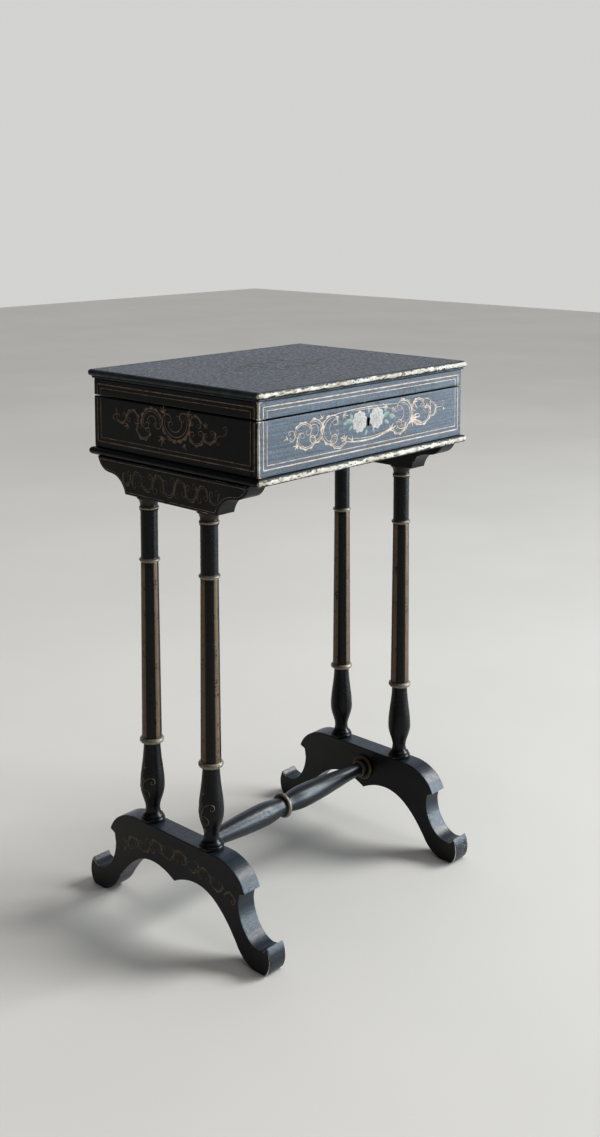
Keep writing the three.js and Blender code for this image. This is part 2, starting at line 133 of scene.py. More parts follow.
def colours():
    return bpy.context.scene.table_colours


def solid_colour(colour):
    """A colour with full opacity."""
    return (*colour, 1.0)


def scaled(colour, share):
    """A colour with each of its parts times share."""
    return tuple(share * part for part in colour)


# ---- curves in a plane, in millimetres

def arc(centre, radius, start, stop, steps):
    """Points centre + radius (cos a, sin a), for a from start to stop in degrees."""
    angle = np.radians(np.linspace(start, stop, steps + 1))
    return np.stack([centre[0] + radius * np.cos(angle), centre[1] + radius * np.sin(angle)], -1)


def bezier(p0, p1, p2, p3, steps):
    """Points of the cubic (1-t)^3 p0 + 3 (1-t)^2 t p1 + 3 (1-t) t^2 p2 + t^3 p3."""
    t = np.linspace(0, 1, steps + 1)[:, None]
    p0, p1, p2, p3 = (np.array(p, float) for p in (p0, p1, p2, p3))
    return (1 - t) ** 3 * p0 + 3 * (1 - t) ** 2 * t * p1 + 3 * (1 - t) * t ** 2 * p2 + t ** 3 * p3


def straight(start, end, steps=1):
    """Evenly spaced points from start to end."""
    return np.linspace(start, end, steps + 1)


def chain(*stretches):
    """Stretches joined end to end, with points closer than 0.02 mm to the one before left out."""
    points = np.concatenate(stretches)
    step = np.linalg.norm(np.diff(points, axis=0), axis=1)
    return points[np.concatenate([[True], step > 0.02])]


def mirrored_outline(half):
    """A half outline, from the middle of the lower edge to the middle of the upper one, and its mirror."""
    other = half[-2:0:-1] * np.array([-1, 1])
    return np.concatenate([half, other])


def wobble(points, wavelength, seed, waves=9):
    """A smooth value from -1 to 1: the mean of sine waves in seeded random directions."""
    random = np.random.default_rng(seed)
    direction = random.normal(size=(waves, 3))
    direction /= np.linalg.norm(direction, axis=1)[:, None]
    pace = 2 * np.pi / wavelength * random.uniform(0.6, 1.6, waves)
    phase = random.uniform(0, 2 * np.pi, waves)
    value = np.sin(points @ (direction * pace[:, None]).T + phase).mean(-1)
    return np.clip(value * 2.2, -1, 1)


def smooth_step(value, low, high):
    """0 below low, 1 above high, and 3 t^2 - 2 t^3 between them."""
    t = np.clip((value - low) / (high - low), 0, 1)
    return t * t * (3 - 2 * t)


# ---- surfaces, in metres

Surface = namedtuple("Surface", "points faces marks")


def grid_faces(rows, columns):
    """Quads between neighbouring rows of a grid whose columns close into rings."""
    row = np.arange(rows - 1)[:, None] * columns
    column = np.arange(columns)[None, :]
    a = row + column
    b = row + (column + 1) % columns
    return np.stack([a, b, b + columns, a + columns], -1).reshape(-1, 4)


def loft(rings, **marks):
    """A closed skin, capped at both ends, through equal rings that turn left about the way they advance."""
    rows, columns = rings.shape[:2]
    faces = grid_faces(rows, columns).tolist()
    faces.append(list(range(columns))[::-1])
    faces.append(list(range((rows - 1) * columns, rows * columns)))
    flat = {name: np.broadcast_to(value, (rows, columns)).reshape(-1) for name, value in marks.items()}
    return Surface(rings.reshape(-1, 3), faces, flat)


def gather(surfaces):
    """Several surfaces as one, each a separate closed shell."""
    points, faces, start = [], [], 0
    for surface in surfaces:
        points.append(surface.points)
        faces.extend([[corner + start for corner in face] for face in surface.faces])
        start += len(surface.points)
    names = surfaces[0].marks
    marks = {name: np.concatenate([surface.marks[name] for surface in surfaces]) for name in names}
    return Surface(np.concatenate(points), faces, marks)


def turned(profile, centre, axis, **marks):
    """A profile of (radius, height) in mm carried round an axis: radius (cos a, sin a) at each height."""
    angle = np.linspace(0, 2 * np.pi, sizes().turned_segments, endpoint=False)
    radius, height = profile.T[:, :, None] * MM
    across = radius * np.cos(angle)
    up = radius * np.sin(angle)
    along = np.broadcast_to(height, across.shape)
    order = {"x": (along, across, up), "z": (across, up, along)}[axis]
    return loft(np.stack(order, -1) + np.array(centre) * MM, **marks)


def outward_normals(outline):
    """Unit normals of a closed left-turning outline, midway between those of the two edges at each point."""
    after = np.roll(outline, -1, 0) - outline
    after /= np.linalg.norm(after, axis=1)[:, None]
    chord = after + np.roll(after, 1, 0)
    normal = np.stack([chord[:, 1], -chord[:, 0]], -1)
    return normal / np.linalg.norm(normal, axis=1)[:, None]


def left_turning(outline):
    """The outline, or its reverse if it turns right."""
    x, y = outline.T
    area = (x * np.roll(y, -1) - y * np.roll(x, -1)).sum()
    return outline if area > 0 else outline[::-1]


def outline_inset(outline, step):
    """The outline moved inwards by step; points near a sharp corner gather at its mitre, so none cross."""
    shape = outline - outward_normals(outline) * step
    before = outline - np.roll(outline, 1, 0)
    after = np.roll(outline, -1, 0) - outline
    cross = before[:, 0] * after[:, 1] - before[:, 1] * after[:, 0]
    bend = np.arctan2(cross, (before * after).sum(1))
    travel = np.concatenate([[0], np.cumsum(np.linalg.norm(after, axis=1))])
    around = travel[-1]
    for corner in np.flatnonzero(bend > math.radians(20)):
        apart = np.abs(travel[:-1] - travel[corner])
        apart = np.minimum(apart, around - apart)
        near = apart < 1.1 * step * math.tan(bend[corner] / 2) + 1e-9
        mitre = outline[corner] - outward_normals(outline)[corner] * step / math.cos(bend[corner] / 2)
        shape[near] = mitre + (outline[near] - outline[corner]) * 0.09
    return shape


def sawn_board(outline, x_low, x_high, edge, worn_towards):
    """A board sawn to an outline in (y, z): its rings step in by edge (1 - cos a) as x nears each face.

    worn_towards(points) scales the wear of the rounded edges. lit is 1 on the cut edge and 0 on the faces; it
    marks where painted sheen goes.
    """
    outline = left_turning(outline)
    angle = np.radians([90, 67, 45, 22, 0])
    inset = edge * (1 - np.cos(angle))
    setback = edge * (1 - np.sin(angle))
    wear = np.array([0.7, 0.95, 1, 0.85, 0.55])
    inner = [(edge + 0.9, 0.0, 0.0)]
    rim = list(zip(inset, setback, wear))
    steps = inner + rim + [(0.0, edge + 2.0, 0.6)]
    low = [(step, x_low + back, mark) for step, back, mark in steps]
    high = [(step, x_high - back, mark) for step, back, mark in reversed(steps)]
    rings, marks = [], []
    for step, x, mark in low + high:
        shape = outline_inset(outline, step)
        rings.append(np.column_stack([np.full(len(shape), x), shape]))
        marks.append(np.full(len(shape), mark))
    rings = np.array(rings) * MM
    # The lit mark: where the feet's lacquer gets painted sheen, on the cut edge.
    cut_edge = np.concatenate([[0, 0, 0.2, 0.6, 0.9, 1, 1], [1, 1, 0.9, 0.6, 0.2, 0, 0]])[:, None]
    lit = np.broadcast_to(cut_edge, rings.shape[:2])
    return loft(rings, wear=np.array(marks) * worn_towards(rings), lit=lit)


def rectangle_ring(half_width, half_depth, corner, steps):
    """A left-turning rounded rectangle: four straight sides of equal steps, joined by quarter circles."""
    sides = []
    middle_x = half_width - corner
    middle_y = half_depth - corner
    corners = [(middle_x, -middle_y, -90), (middle_x, middle_y, 0), (-middle_x, middle_y, 90),
               (-middle_x, -middle_y, 180)]
    for index, (x, y, start) in enumerate(corners):
        bend = arc((x, y), corner, start, start + 90, 6)
        next_x, next_y, next_start = corners[(index + 1) % 4]
        goal = arc((next_x, next_y), corner, next_start, next_start + 90, 6)[0]
        sides += [bend, straight(bend[-1], goal, steps)[1:-1]]
    return np.concatenate(sides)


NOSING_CORNER = 1.6


def moulded_board(half_width, half_depth, profile, chip):
    """A board whose edge follows a profile of (inset, height, wear), carried round a rounded rectangle.

    chip(points) says how far each point of the edge is knocked inwards, in millimetres.
    """
    rings, marks = [], []
    for inset, height, wear in profile:
        radius = max(NOSING_CORNER - inset, 0.4)
        ring = rectangle_ring(half_width - inset, half_depth - inset, radius, 90)
        rings.append(np.column_stack([ring, np.full(len(ring), height)]))
        marks.append(np.full(len(ring), wear))
    rings = np.array(rings)
    marks = np.array(marks)
    depth = chip(rings) * marks
    towards_middle = -np.sign(rings[..., :2]) * (np.abs(rings[..., :2]) > [half_width - 14, half_depth - 14])
    rings[..., :2] += towards_middle * depth[..., None]
    marks = np.clip(marks * nosing_wear(rings), 0, 1)
    return loft(rings * MM, wear=marks)


def nosing_wear(points):
    """How worn an edge is by where it is: most along the front, least along the left side."""
    front = smooth_step(-points[..., 1], 150, 156)
    left = smooth_step(-points[..., 0], 200, 204)
    patch = 0.5 + 0.5 * wobble(points, 46.0, 5)
    nick = 0.67 + 0.17 * wobble(points * np.array([1, 3, 3]), 11.0, 6)
    return np.maximum(front * nick, 0.28 + 0.3 * patch) * (1 - 0.45 * left * (1 - front))


def spaced(low, high, edge, interior):
    """Places along one side of a board: edge (1 - tan a) near each end, two close steps, then even ones."""
    near = edge * (1 - np.tan(np.radians([45, 34, 22, 11, 0])))
    near = np.concatenate([near, [edge + 1.3, edge + 3.4]])
    near = near[near < (high - low) / 2]
    middle = np.linspace(low + near[-1], high - near[-1], interior + 2)[1:-1]
    return np.concatenate([low + near, middle, high - near[::-1]])


def block_skin(low, high, edge):
    """The skin of a block: points of a grid on each face, closer near the edges, and quads between them."""
    points, faces, start = [], [], 0
    for axis in range(3):
        u_axis, v_axis = (axis + 1) % 3, (axis + 2) % 3
        u = spaced(low[u_axis], high[u_axis], edge, 12)
        v = spaced(low[v_axis], high[v_axis], edge, 12)
        for side, level in ((-1, low[axis]), (1, high[axis])):
            grid = np.zeros((len(u), len(v), 3))
            grid[..., u_axis] = u[:, None]
            grid[..., v_axis] = v[None, :]
            grid[..., axis] = level
            index = np.arange(len(u) * len(v)).reshape(len(u), len(v)) + start
            quads = np.stack([index[:-1, :-1], index[1:, :-1], index[1:, 1:], index[:-1, 1:]], -1)
            quads = quads.reshape(-1, 4)
            faces.append(quads if side > 0 else quads[:, ::-1])
            points.append(grid.reshape(-1, 3))
            start += len(u) * len(v)
    points = np.concatenate(points)
    key = np.round(points * 1e4).astype(np.int64)
    _, first, index = np.unique(key, axis=0, return_index=True, return_inverse=True)
    return points[first], index.reshape(-1)[np.concatenate(faces)].tolist()


def planed_board(low, high, edge, wear_scale):
    """A board with rounded edges: a point p of the block's skin moves to q + edge (p - q) / |p - q|.

    q is p clamped to the block shrunk by edge. wear is s e^(-d / (1.1 + 2.6 s^2)), with s the wear scale and
    d the distance in millimetres from the nearest edge. lit is 1 where the skin faces -Y, and marks where the
    front's lacquer gets painted sheen.
    """
    points, faces = block_skin(low, high, edge)
    core = np.clip(points, low + edge, high - edge)
    away = points - core
    length = np.linalg.norm(away, axis=1)[:, None]
    points = core + away * np.where(length > 1e-6, edge / np.maximum(length, 1e-6), 0)
    gap = np.sort(np.minimum(points - low, high - points), axis=1)[:, 1]
    scale = wear_scale(points)
    wear = scale * np.exp(-np.maximum(gap, 0) / (1.1 + 2.6 * scale ** 2))
    # The lit mark: faces turned to -Y, towards the window, get painted sheen on the front boards.
    lit = smooth_step(-away[:, 1] / np.maximum(length[:, 0], 1e-6), 0.35, 0.8)
    return Surface(points * MM, faces, {"wear": np.clip(wear, 0, 1), "lit": lit})


# ---- painted strokes

Plane = namedtuple("Plane", "origin across up out")
PLANES = {
    "front": Plane((0, -FRONT_FACE, 0), (1, 0, 0), (0, 0, 1), (0, -1, 0)),
    "top": Plane((0, 0, 720 - MOTIF_DEPTH), (1, 0, 0), (0, 1, 0), (0, 0, 1)),
}
PLANES.update({
    prefix + side: Plane((way * reach, 0, 0), (0, way, 0), (0, 0, 1), (way, 0, 0))
    for prefix, reach in (("", 200), ("apron_", 205.5), ("foot_", 204.5))
    for side, way in SIDES
})


def on_plane(flat, rise, plane):
    """Points in metres for places on a plane, lifted off it by rise."""
    origin, right, up, out = (np.array(v, float) for v in PLANES[plane])
    return (origin + flat[..., :1] * right + flat[..., 1:] * up + rise[..., None] * out) * MM


def left_of(points):
    """Unit vectors to the left of the way a path runs, one for each of its points."""
    tangent = np.gradient(points, axis=0)
    tangent /= np.maximum(np.linalg.norm(tangent, axis=1), 1e-9)[:, None]
    return np.stack([-tangent[:, 1], tangent[:, 0]], -1)


def pointing(degrees):
    """The unit vector that points degrees left of the first axis."""
    turn = math.radians(degrees)
    return np.array([math.cos(turn), math.sin(turn)])


def turning(degrees):
    """A matrix that turns rows of points left by an angle."""
    return np.array([pointing(degrees), pointing(degrees + 90)])


def stroke(points, width, plane, height):
    """A brush stroke: a low dome carried along points, width(t) wide where t runs from 0 to 1 along it.

    With w half the width and h the height, its section is (-w, -sunk), (w, -sunk), (0.7 w, 0.8 h), (0, h) and
    (-0.7 w, 0.8 h).
    """
    half = np.maximum(width(np.linspace(0, 1, len(points))), 0.12) / 2
    across = np.array([-1, 1, 0.7, 0, -0.7])
    rise = np.array([-SUNK, -SUNK, 0.8 * height, height, 0.8 * height])
    flat = points[:, None, :] + left_of(points)[:, None, :] * (half[:, None] * across)[..., None]
    return loft(on_plane(flat, rise[None, :], plane))


def taper(width, start=0.25, end=0.12):
    """Full width in the middle, thinning to start and end shares of it at the tips."""
    def profile(t):
        swell = np.sin(np.pi * np.clip(t, 0, 1)) ** 0.6
        tips = start + (end - start) * t
        return width * (tips + (1 - tips) * swell)
    return profile


def drop(width):
    """A leaf: widest a third of the way along, and pointed at the tip."""
    return lambda t: width * (2.6 * np.sqrt(np.clip(t, 0, 1)) * (1 - t) + 0.08)


def even(width):
    """The same width all along."""
    return lambda t: np.full_like(t, width)


def placed(points, centre, size, facing):
    """Points turned by facing degrees, scaled so that their longer extent is size, and centred."""
    points = points @ turning(facing)
    middle = (points.max(0) + points.min(0)) / 2
    extent = np.ptp(points, axis=0).max()
    return (points - middle) * size / extent + centre


def curled_heading(s):
    """Degrees turned at |s| from the middle: 170 |s| at first, then the rate grows by e^(2.9 d) over d."""
    past = np.maximum(np.abs(s) - 0.3, 0)
    return 170 * (np.minimum(np.abs(s), 0.3) + (np.exp(2.9 * past) - 1) / 2.9)


def path_of(heading):
    """A path of equal steps that follow headings in degrees."""
    turn = np.radians(heading)
    return np.cumsum(np.stack([np.cos(turn), np.sin(turn)], -1), axis=0)


def c_scroll(centre, size, facing, steps=64):
    """A C that turns left all the way and winds up at both ends."""
    s = np.linspace(-1, 1, steps)
    return placed(path_of(np.sign(s) * curled_heading(s)), centre, size, facing)


def s_scroll(centre, size, facing, steps=64):
    """An S that turns right, then left, and winds up at both ends."""
    return placed(path_of(curled_heading(np.linspace(-1, 1, steps))), centre, size, facing)


def leaf_path(start, length, heading, bend, steps=12):
    """A path from start whose heading turns evenly by bend degrees over its length."""
    t = np.linspace(0, 1, steps)
    angle = np.radians(heading + bend * t)
    step = np.stack([np.cos(angle), np.sin(angle)], -1) * length / steps
    return np.array(start, float) + np.cumsum(step, axis=0) - step[0]


def spray(start, length, heading, count=4, fan=62, width=1.9):
    """An acanthus tuft: leaves fanned from one point, the middle ones longest."""
    place = np.linspace(-1, 1, count)
    strokes = []
    for p in place:
        reach = length * (1 - 0.42 * abs(p))
        strokes.append((leaf_path(start, reach, heading + fan * p * 0.5, 46 * p), drop(width)))
    return strokes


def paint(strokes, plane, height=None):
    """Strokes as one surface, as high as the paint is thick unless a height is given."""
    rise = sizes().paint_height / MM if height is None else height
    return gather([stroke(points, width, plane, rise) for points, width in strokes])


# ---- pieces and their materials

def new_piece(name, surface, body, finish, replaced=()):
    """A mesh object at the origin with its place in its points, riding on a body."""
    mesh = bpy.data.meshes.new(name)
    mesh.from_pydata(surface.points.tolist(), [], surface.faces)
    mesh.materials.append(bpy.data.materials[finish])
    for mark, value in surface.marks.items():
        attribute = mesh.attributes.new(mark, "FLOAT", "POINT")
        attribute.data.foreach_set("value", np.asarray(value, np.float32))
    mesh.shade_smooth()
    mesh.set_sharp_from_angle(angle=math.radians(SHARP_DEGREES))
    mesh.update()
    piece = bpy.data.objects.new(name, mesh)
    bpy.context.scene.collection.objects.link(piece)
    if replaced:
        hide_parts(*replaced)
    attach(piece, body)
    return piece


def cut_piece(piece, cutters):
    """Cuts boxes and prisms out of a piece with exact booleans, then keeps the result as its mesh."""
    for cutter in cutters:
        hole = bpy.data.meshes.new("cutter")
        hole.from_pydata(cutter.points.tolist(), [], cutter.faces)
        tool = bpy.data.objects.new("cutter", hole)
        bpy.context.scene.collection.objects.link(tool)
        modifier = piece.modifiers.new("cut", "BOOLEAN")
        modifier.operation = "DIFFERENCE"
        modifier.solver = "EXACT"
        modifier.object = tool
        evaluated = piece.evaluated_get(bpy.context.evaluated_depsgraph_get())
        result = bpy.data.meshes.new_from_object(evaluated)
        piece.modifiers.remove(modifier)
        piece.data = result
        bpy.data.objects.remove(tool)
    piece.data.set_sharp_from_angle(angle=math.radians(SHARP_DEGREES))
    return piece


def block(low, high):
    """A plain cutter box, in millimetres."""
    rectangle = np.array([[low[0], low[1]], [high[0], low[1]], [high[0], high[1]], [low[0], high[1]]])
    rings = [np.column_stack([rectangle, np.full(4, z)]) for z in (low[2], high[2])]
    return loft(np.array(rings) * MM)


def prism_along_y(outline, y_low, y_high):
    """A cutter with an outline in (x, z), run along y."""
    x, z = left_turning(outline)[::-1].T
    rings = [np.column_stack([x, np.full(len(x), y), z]) for y in (y_low, y_high)]
    return loft(np.array(rings) * MM)


def dress(nodes, finish):
    """Gives carried-over frame nodes their finish."""
    for name in nodes:
        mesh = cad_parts[name].data
        mesh.materials.clear()
        mesh.materials.append(bpy.data.materials[finish])


class Tree:
    """A node tree that is added to by kind, with values or links for its inputs."""

    def __init__(self, tree):
        self.tree = tree

    def add(self, kind, inputs=None, **settings):
        node = self.tree.nodes.new(kind)
        for key, value in settings.items():
            setattr(node, key, value)
        for key, value in (inputs or {}).items():
            self.feed(node.inputs[key], value)
        return node

    def feed(self, socket, value):
        if isinstance(value, bpy.types.NodeSocket):
            self.tree.links.new(value, socket)
        else:
            socket.default_value = value

    def math(self, operation, first, second, clamp):
        inputs = {0: first, 1: second}
        return self.add("ShaderNodeMath", inputs, operation=operation, use_clamp=clamp).outputs[0]

    def plus(self, first, second, clamp=False):
        return self.math("ADD", first, second, clamp)

    def minus(self, first, second):
        return self.math("SUBTRACT", first, second, False)

    def times(self, first, second, clamp=False):
        return self.math("MULTIPLY", first, second, clamp)

    def mix(self, factor, first, second):
        node = self.add("ShaderNodeMix", {0: factor, 6: first, 7: second}, data_type="RGBA")
        return node.outputs[2]

    def ramp(self, value, low, high, to_low=0.0, to_high=1.0):
        inputs = {"Value": value, "From Min": low, "From Max": high, "To Min": to_low, "To Max": to_high}
        return self.add("ShaderNodeMapRange", inputs, interpolation_type="SMOOTHSTEP").outputs[0]

    def place(self, scale=(1, 1, 1)):
        where = self.add("ShaderNodeTexCoord").outputs["Object"]
        return self.add("ShaderNodeMapping", {"Vector": where, "Scale": scale}).outputs[0]

    def noise(self, vector, scale, detail=4.0, roughness=0.55):
        inputs = {"Vector": vector, "Scale": scale, "Detail": detail, "Roughness": roughness}
        return self.add("ShaderNodeTexNoise", inputs).outputs["Fac"]

    def mark(self, name):
        return self.add("ShaderNodeAttribute", attribute_name=name).outputs["Fac"]

    def group(self, name, **inputs):
        node = self.add("ShaderNodeGroup", node_tree=bpy.data.node_groups[name])
        for key, value in inputs.items():
            self.feed(node.inputs[key], value)
        return node.outputs[0]


def new_group(name, sockets, output):
    """An empty shader group with named float inputs and one output; returns its tree and its inputs."""
    group = bpy.data.node_groups.new(name, "ShaderNodeTree")
    for socket, value in sockets.items():
        item = group.interface.new_socket(name=socket, in_out="INPUT", socket_type="NodeSocketFloat")
        item.default_value = value
    group.interface.new_socket(name=output, in_out="OUTPUT", socket_type="NodeSocketFloat")
    tree = Tree(group)
    inputs = tree.add("NodeGroupInput").outputs
    end = tree.add("NodeGroupOutput")
    return tree, inputs, end.inputs[0]


def build_worn_edges():
    """Chipped patches: wear plus noise, cut off sharply where their sum passes a threshold."""
    tree, inputs, out = new_group("worn_edges", {"Wear": 0.0, "Scale": 300.0, "Threshold": 0.8}, "Mask")
    vector = tree.place()
    fine = tree.noise(vector, inputs["Scale"], 6.0, 0.7)
    broad = tree.noise(vector, 38.0, 2.0)
    rough = tree.plus(tree.times(fine, 0.62), tree.times(broad, 0.38))
    total = tree.plus(inputs["Wear"], rough)
    edge = tree.minus(total, inputs["Threshold"])
    tree.feed(out, tree.ramp(edge, 0.0, 0.09))


def build_dust():
    """Thin dust: soft clouds of noise and a few specks, times the amount."""
    tree, inputs, out = new_group("dust", {"Amount": 0.3, "Scale": 9.0}, "Mask")
    vector = tree.place()
    cloud = tree.ramp(tree.noise(vector, inputs["Scale"], 6.0, 0.65), 0.34, 0.72)
    speck = tree.ramp(tree.noise(vector, 620.0, 2.0), 0.62, 0.72)
    total = tree.plus(tree.times(cloud, 0.75), tree.times(speck, 0.35))
    tree.feed(out, tree.times(total, inputs["Amount"], clamp=True))


def build_combed_grain():
    """Streaks along X, coarse and fine: noise stretched along X and squeezed along Y and Z."""
    tree, inputs, out = new_group("combed_grain", {"Scale": 60.0}, "Height")
    stretched = tree.place((0.12, 5.0, 6.0))
    coarse = tree.noise(stretched, inputs["Scale"], 5.0, 0.6)
    fine = tree.noise(tree.place((0.4, 20.0, 22.0)), inputs["Scale"], 3.0, 0.6)
    tree.feed(out, tree.plus(tree.times(coarse, 0.6), tree.times(fine, 0.4)))


def build_crackle():
    """Thin cracks of old lacquer: dark lines between the cells of a stretched cell pattern."""
    tree, inputs, out = new_group("crackle", {"Scale": 130.0}, "Mask")
    cells = tree.add("ShaderNodeTexVoronoi", {"Vector": tree.place((1, 1, 0.6)), "Scale": inputs["Scale"]},
                     feature="DISTANCE_TO_EDGE").outputs["Distance"]
    line = tree.ramp(cells, 0.0, 0.035, 1.0, 0.0)
    patch = tree.ramp(tree.noise(tree.place(), 16.0, 3.0), 0.5, 0.66)
    tree.feed(out, tree.times(line, patch))


def build_flecks():
    """Rubbed gilding: where it is 1 the gold is gone and the black shows."""
    tree, inputs, out = new_group("flecks", {"Loss": 0.4, "Scale": 420.0}, "Mask")
    vector = tree.place()
    fine = tree.noise(vector, inputs["Scale"], 5.0, 0.7)
    broad = tree.noise(vector, 60.0, 3.0)
    total = tree.plus(tree.times(fine, 0.6), tree.times(broad, 0.4))
    limit = tree.minus(0.72, tree.times(inputs["Loss"], 0.34))
    tree.feed(out, tree.ramp(tree.minus(total, limit), -0.02, 0.05))


def new_material(name):
    """An empty material with a shader; returns it with its tree and the shader."""
    material = bpy.data.materials.new(name)
    material.use_nodes = True
    material.node_tree.nodes.clear()
    tree = Tree(material.node_tree)
    shader = tree.add("ShaderNodeBsdfPrincipled")
    out = tree.add("ShaderNodeOutputMaterial")
    material.node_tree.links.new(shader.outputs[0], out.inputs[0])
    return material, tree, shader


def bump(tree, shader, height, strength, distance=0.0004):
    """Gives a shader the fine relief of a height."""
    node = tree.add("ShaderNodeBump", {"Height": height, "Strength": strength, "Distance": distance})
    tree.feed(shader.inputs["Normal"], node.outputs[0])


def gild(tree, shader, colour, gloss):
    """Lays rubbed gold over a colour by the piece's gilt attribute, paler where its ring attribute is 1.

    It returns the new colour and roughness.
    """
    loss = tree.group("flecks", Loss=0.45, Scale=380.0)
    cover = tree.times(tree.mark("gilt"), tree.minus(1.0, loss), clamp=True)
    stain = tree.noise(tree.place((1, 1, 0.3)), 120.0)
    tone = tree.mix(stain, solid_colour(scaled(colours().gilt, 0.66)), RUBBED_GOLD)
    tone = tree.mix(tree.times(tree.mark("ring"), 0.8), tone, solid_colour(colours().ring_gilt))
    colour = tree.mix(cover, colour, tone)
    tree.feed(shader.inputs["Metallic"], tree.times(cover, 0.45))
    return colour, tree.plus(gloss, tree.times(cover, 0.14), clamp=True)


def lacquer_relief(tree, streaks, cracks, worn, grain, brushed):
    """The lacquer's height: combed streaks and brush marks, lowered along cracks and in worn patches."""
    relief = tree.minus(tree.times(streaks, grain), tree.times(cracks, 0.4))
    relief = tree.minus(relief, tree.times(worn, 0.9))
    brush_marks = tree.noise(tree.place(), 150.0, 6.0, 0.72)
    return tree.plus(relief, tree.times(brush_marks, brushed))


def lacquer(name, painted_sheen=0.0, dust=0.2, dust_scale=9.0, threshold=1.05, roughness=0.24, grain=0.25, gilt=False,
            specular=0.32, brushed=1.6, lit_painted_sheen=0.0):
    """Aged black lacquer: painted sheen and dust lighten it, cracks darken it, and worn edges show the pale
    ground.

    The painted sheen is a blue-grey tint in the colour that stands for the window's reflection. With gilt,
    rubbed gold lies over the black. With lit_painted_sheen, that much more painted sheen is added, and the
    dust kept, only where the piece's lit attribute is 1, so that there the dust is part of the painted sheen.
    """
    material, tree, shader = new_material(name)
    streaks = tree.group("combed_grain", Scale=60.0)
    dust_and_sheen = tree.group("dust", Amount=dust, Scale=dust_scale)
    cracks = tree.group("crackle", Scale=130.0)
    worn = tree.group("worn_edges", Wear=tree.mark("wear"), Scale=320.0, Threshold=threshold)
    # Painted sheen: the blue-grey tint of the window's reflection, laid on in streaks.
    sheen = tree.ramp(streaks, 0.3, 0.68, painted_sheen * 0.18, painted_sheen * 1.12)
    if lit_painted_sheen:
        # More painted sheen, only on faces marked lit, as if the window lit them.
        lit = tree.mark("lit")
        lit_sheen = tree.ramp(streaks, 0.3, 0.68, lit_painted_sheen * 0.18, lit_painted_sheen * 1.12)
        sheen = tree.plus(sheen, tree.times(lit, lit_sheen), clamp=True)
        dust_and_sheen = tree.times(dust_and_sheen, lit)
    black = tree.mix(sheen, solid_colour(colours().lacquer), solid_colour(colours().painted_sheen))
    # Dust greys the black; on pieces with lit painted sheen it lies only on lit faces and is painted sheen
    # there.
    dusty = tree.mix(dust_and_sheen, black, DUST_AND_SHEEN_GREY)
    cracked = tree.mix(tree.times(cracks, 0.7), dusty, CRACK_BLACK)
    shade = tree.noise(tree.place(), 90.0, 4.0)
    ground = tree.mix(tree.ramp(shade, 0.3, 0.75), solid_colour(colours().bare_edge), OLD_GROUND)
    colour = tree.mix(worn, cracked, ground)
    gloss = tree.plus(roughness, tree.times(dust_and_sheen, 0.55))
    gloss = tree.plus(gloss, tree.times(worn, 0.4), clamp=True)
    strokes = tree.noise(tree.place(), 210.0, 4.0, 0.7)
    rubbed = tree.ramp(strokes, 0.4, 0.62, -0.075 * brushed, 0.055 * brushed)
    gloss = tree.plus(gloss, rubbed, clamp=True)
    if gilt:
        colour, gloss = gild(tree, shader, colour, gloss)
    tree.feed(shader.inputs["Base Color"], colour)
    tree.feed(shader.inputs["Roughness"], gloss)
    shader.inputs["Specular IOR Level"].default_value = specular
    shader.inputs["Coat Weight"].default_value = 0.04
    shader.inputs["Coat Roughness"].default_value = 0.2
    bump(tree, shader, lacquer_relief(tree, streaks, cracks, worn, grain, brushed), 0.6, 0.0006)
    return material


def gilding(name, colour, loss, metallic, roughness=0.46):
    """Painted gold in lighter and warmer patches, rubbed through in flecks."""
    material, tree, shader = new_material(name)
    gone = tree.group("flecks", Loss=loss, Scale=520.0)
    shade = tree.ramp(tree.noise(tree.place(), 140.0, 4.0), 0.3, 0.7)
    light = tuple(min(1.0, c * 1.35 + 0.03) for c in colour)
    warm = (colour[0] * 0.72, colour[1] * 0.62, colour[2] * 0.5)
    gold = tree.mix(shade, solid_colour(warm), solid_colour(light))
    tree.feed(shader.inputs["Base Color"], tree.mix(gone, gold, (0.02, 0.02, 0.022, 1)))
    kept = tree.minus(1.0, gone)
    tree.feed(shader.inputs["Metallic"], tree.times(kept, metallic))
    tree.feed(shader.inputs["Roughness"], tree.plus(roughness, tree.times(shade, 0.12)))
    bump(tree, shader, tree.noise(tree.place(), 700.0, 3.0), 0.25, 0.0001)
    return material


def petals_material():
    """Painted petals: rose at the base, cream at the rim, by the piece's tint attribute."""
    material, tree, shader = new_material("rose_petals")
    tint = tree.mark("tint")
    stain = tree.noise(tree.place(), 260.0, 4.0)
    rim = tree.mix(tree.ramp(stain, 0.35, 0.7), (0.56, 0.54, 0.51, 1), (0.36, 0.34, 0.31, 1))
    tree.feed(shader.inputs["Base Color"], tree.mix(tree.ramp(tint, 0.1, 0.85), (0.27, 0.2, 0.17, 1), rim))
    shader.inputs["Roughness"].default_value = 0.6
    bump(tree, shader, tree.noise(tree.place(), 900.0, 3.0), 0.3, 0.0001)
    return material


def leaves_material():
    """Pale green paint, yellower and darker in patches."""
    material, tree, shader = new_material("painted_leaves")
    stain = tree.ramp(tree.noise(tree.place(), 170.0, 4.0), 0.3, 0.7)
    tree.feed(shader.inputs["Base Color"], tree.mix(stain, (0.12, 0.17, 0.16, 1), (0.31, 0.37, 0.33, 1)))
    shader.inputs["Roughness"].default_value = 0.6
    bump(tree, shader, tree.noise(tree.place(), 800.0, 3.0), 0.3, 0.0001)
    return material


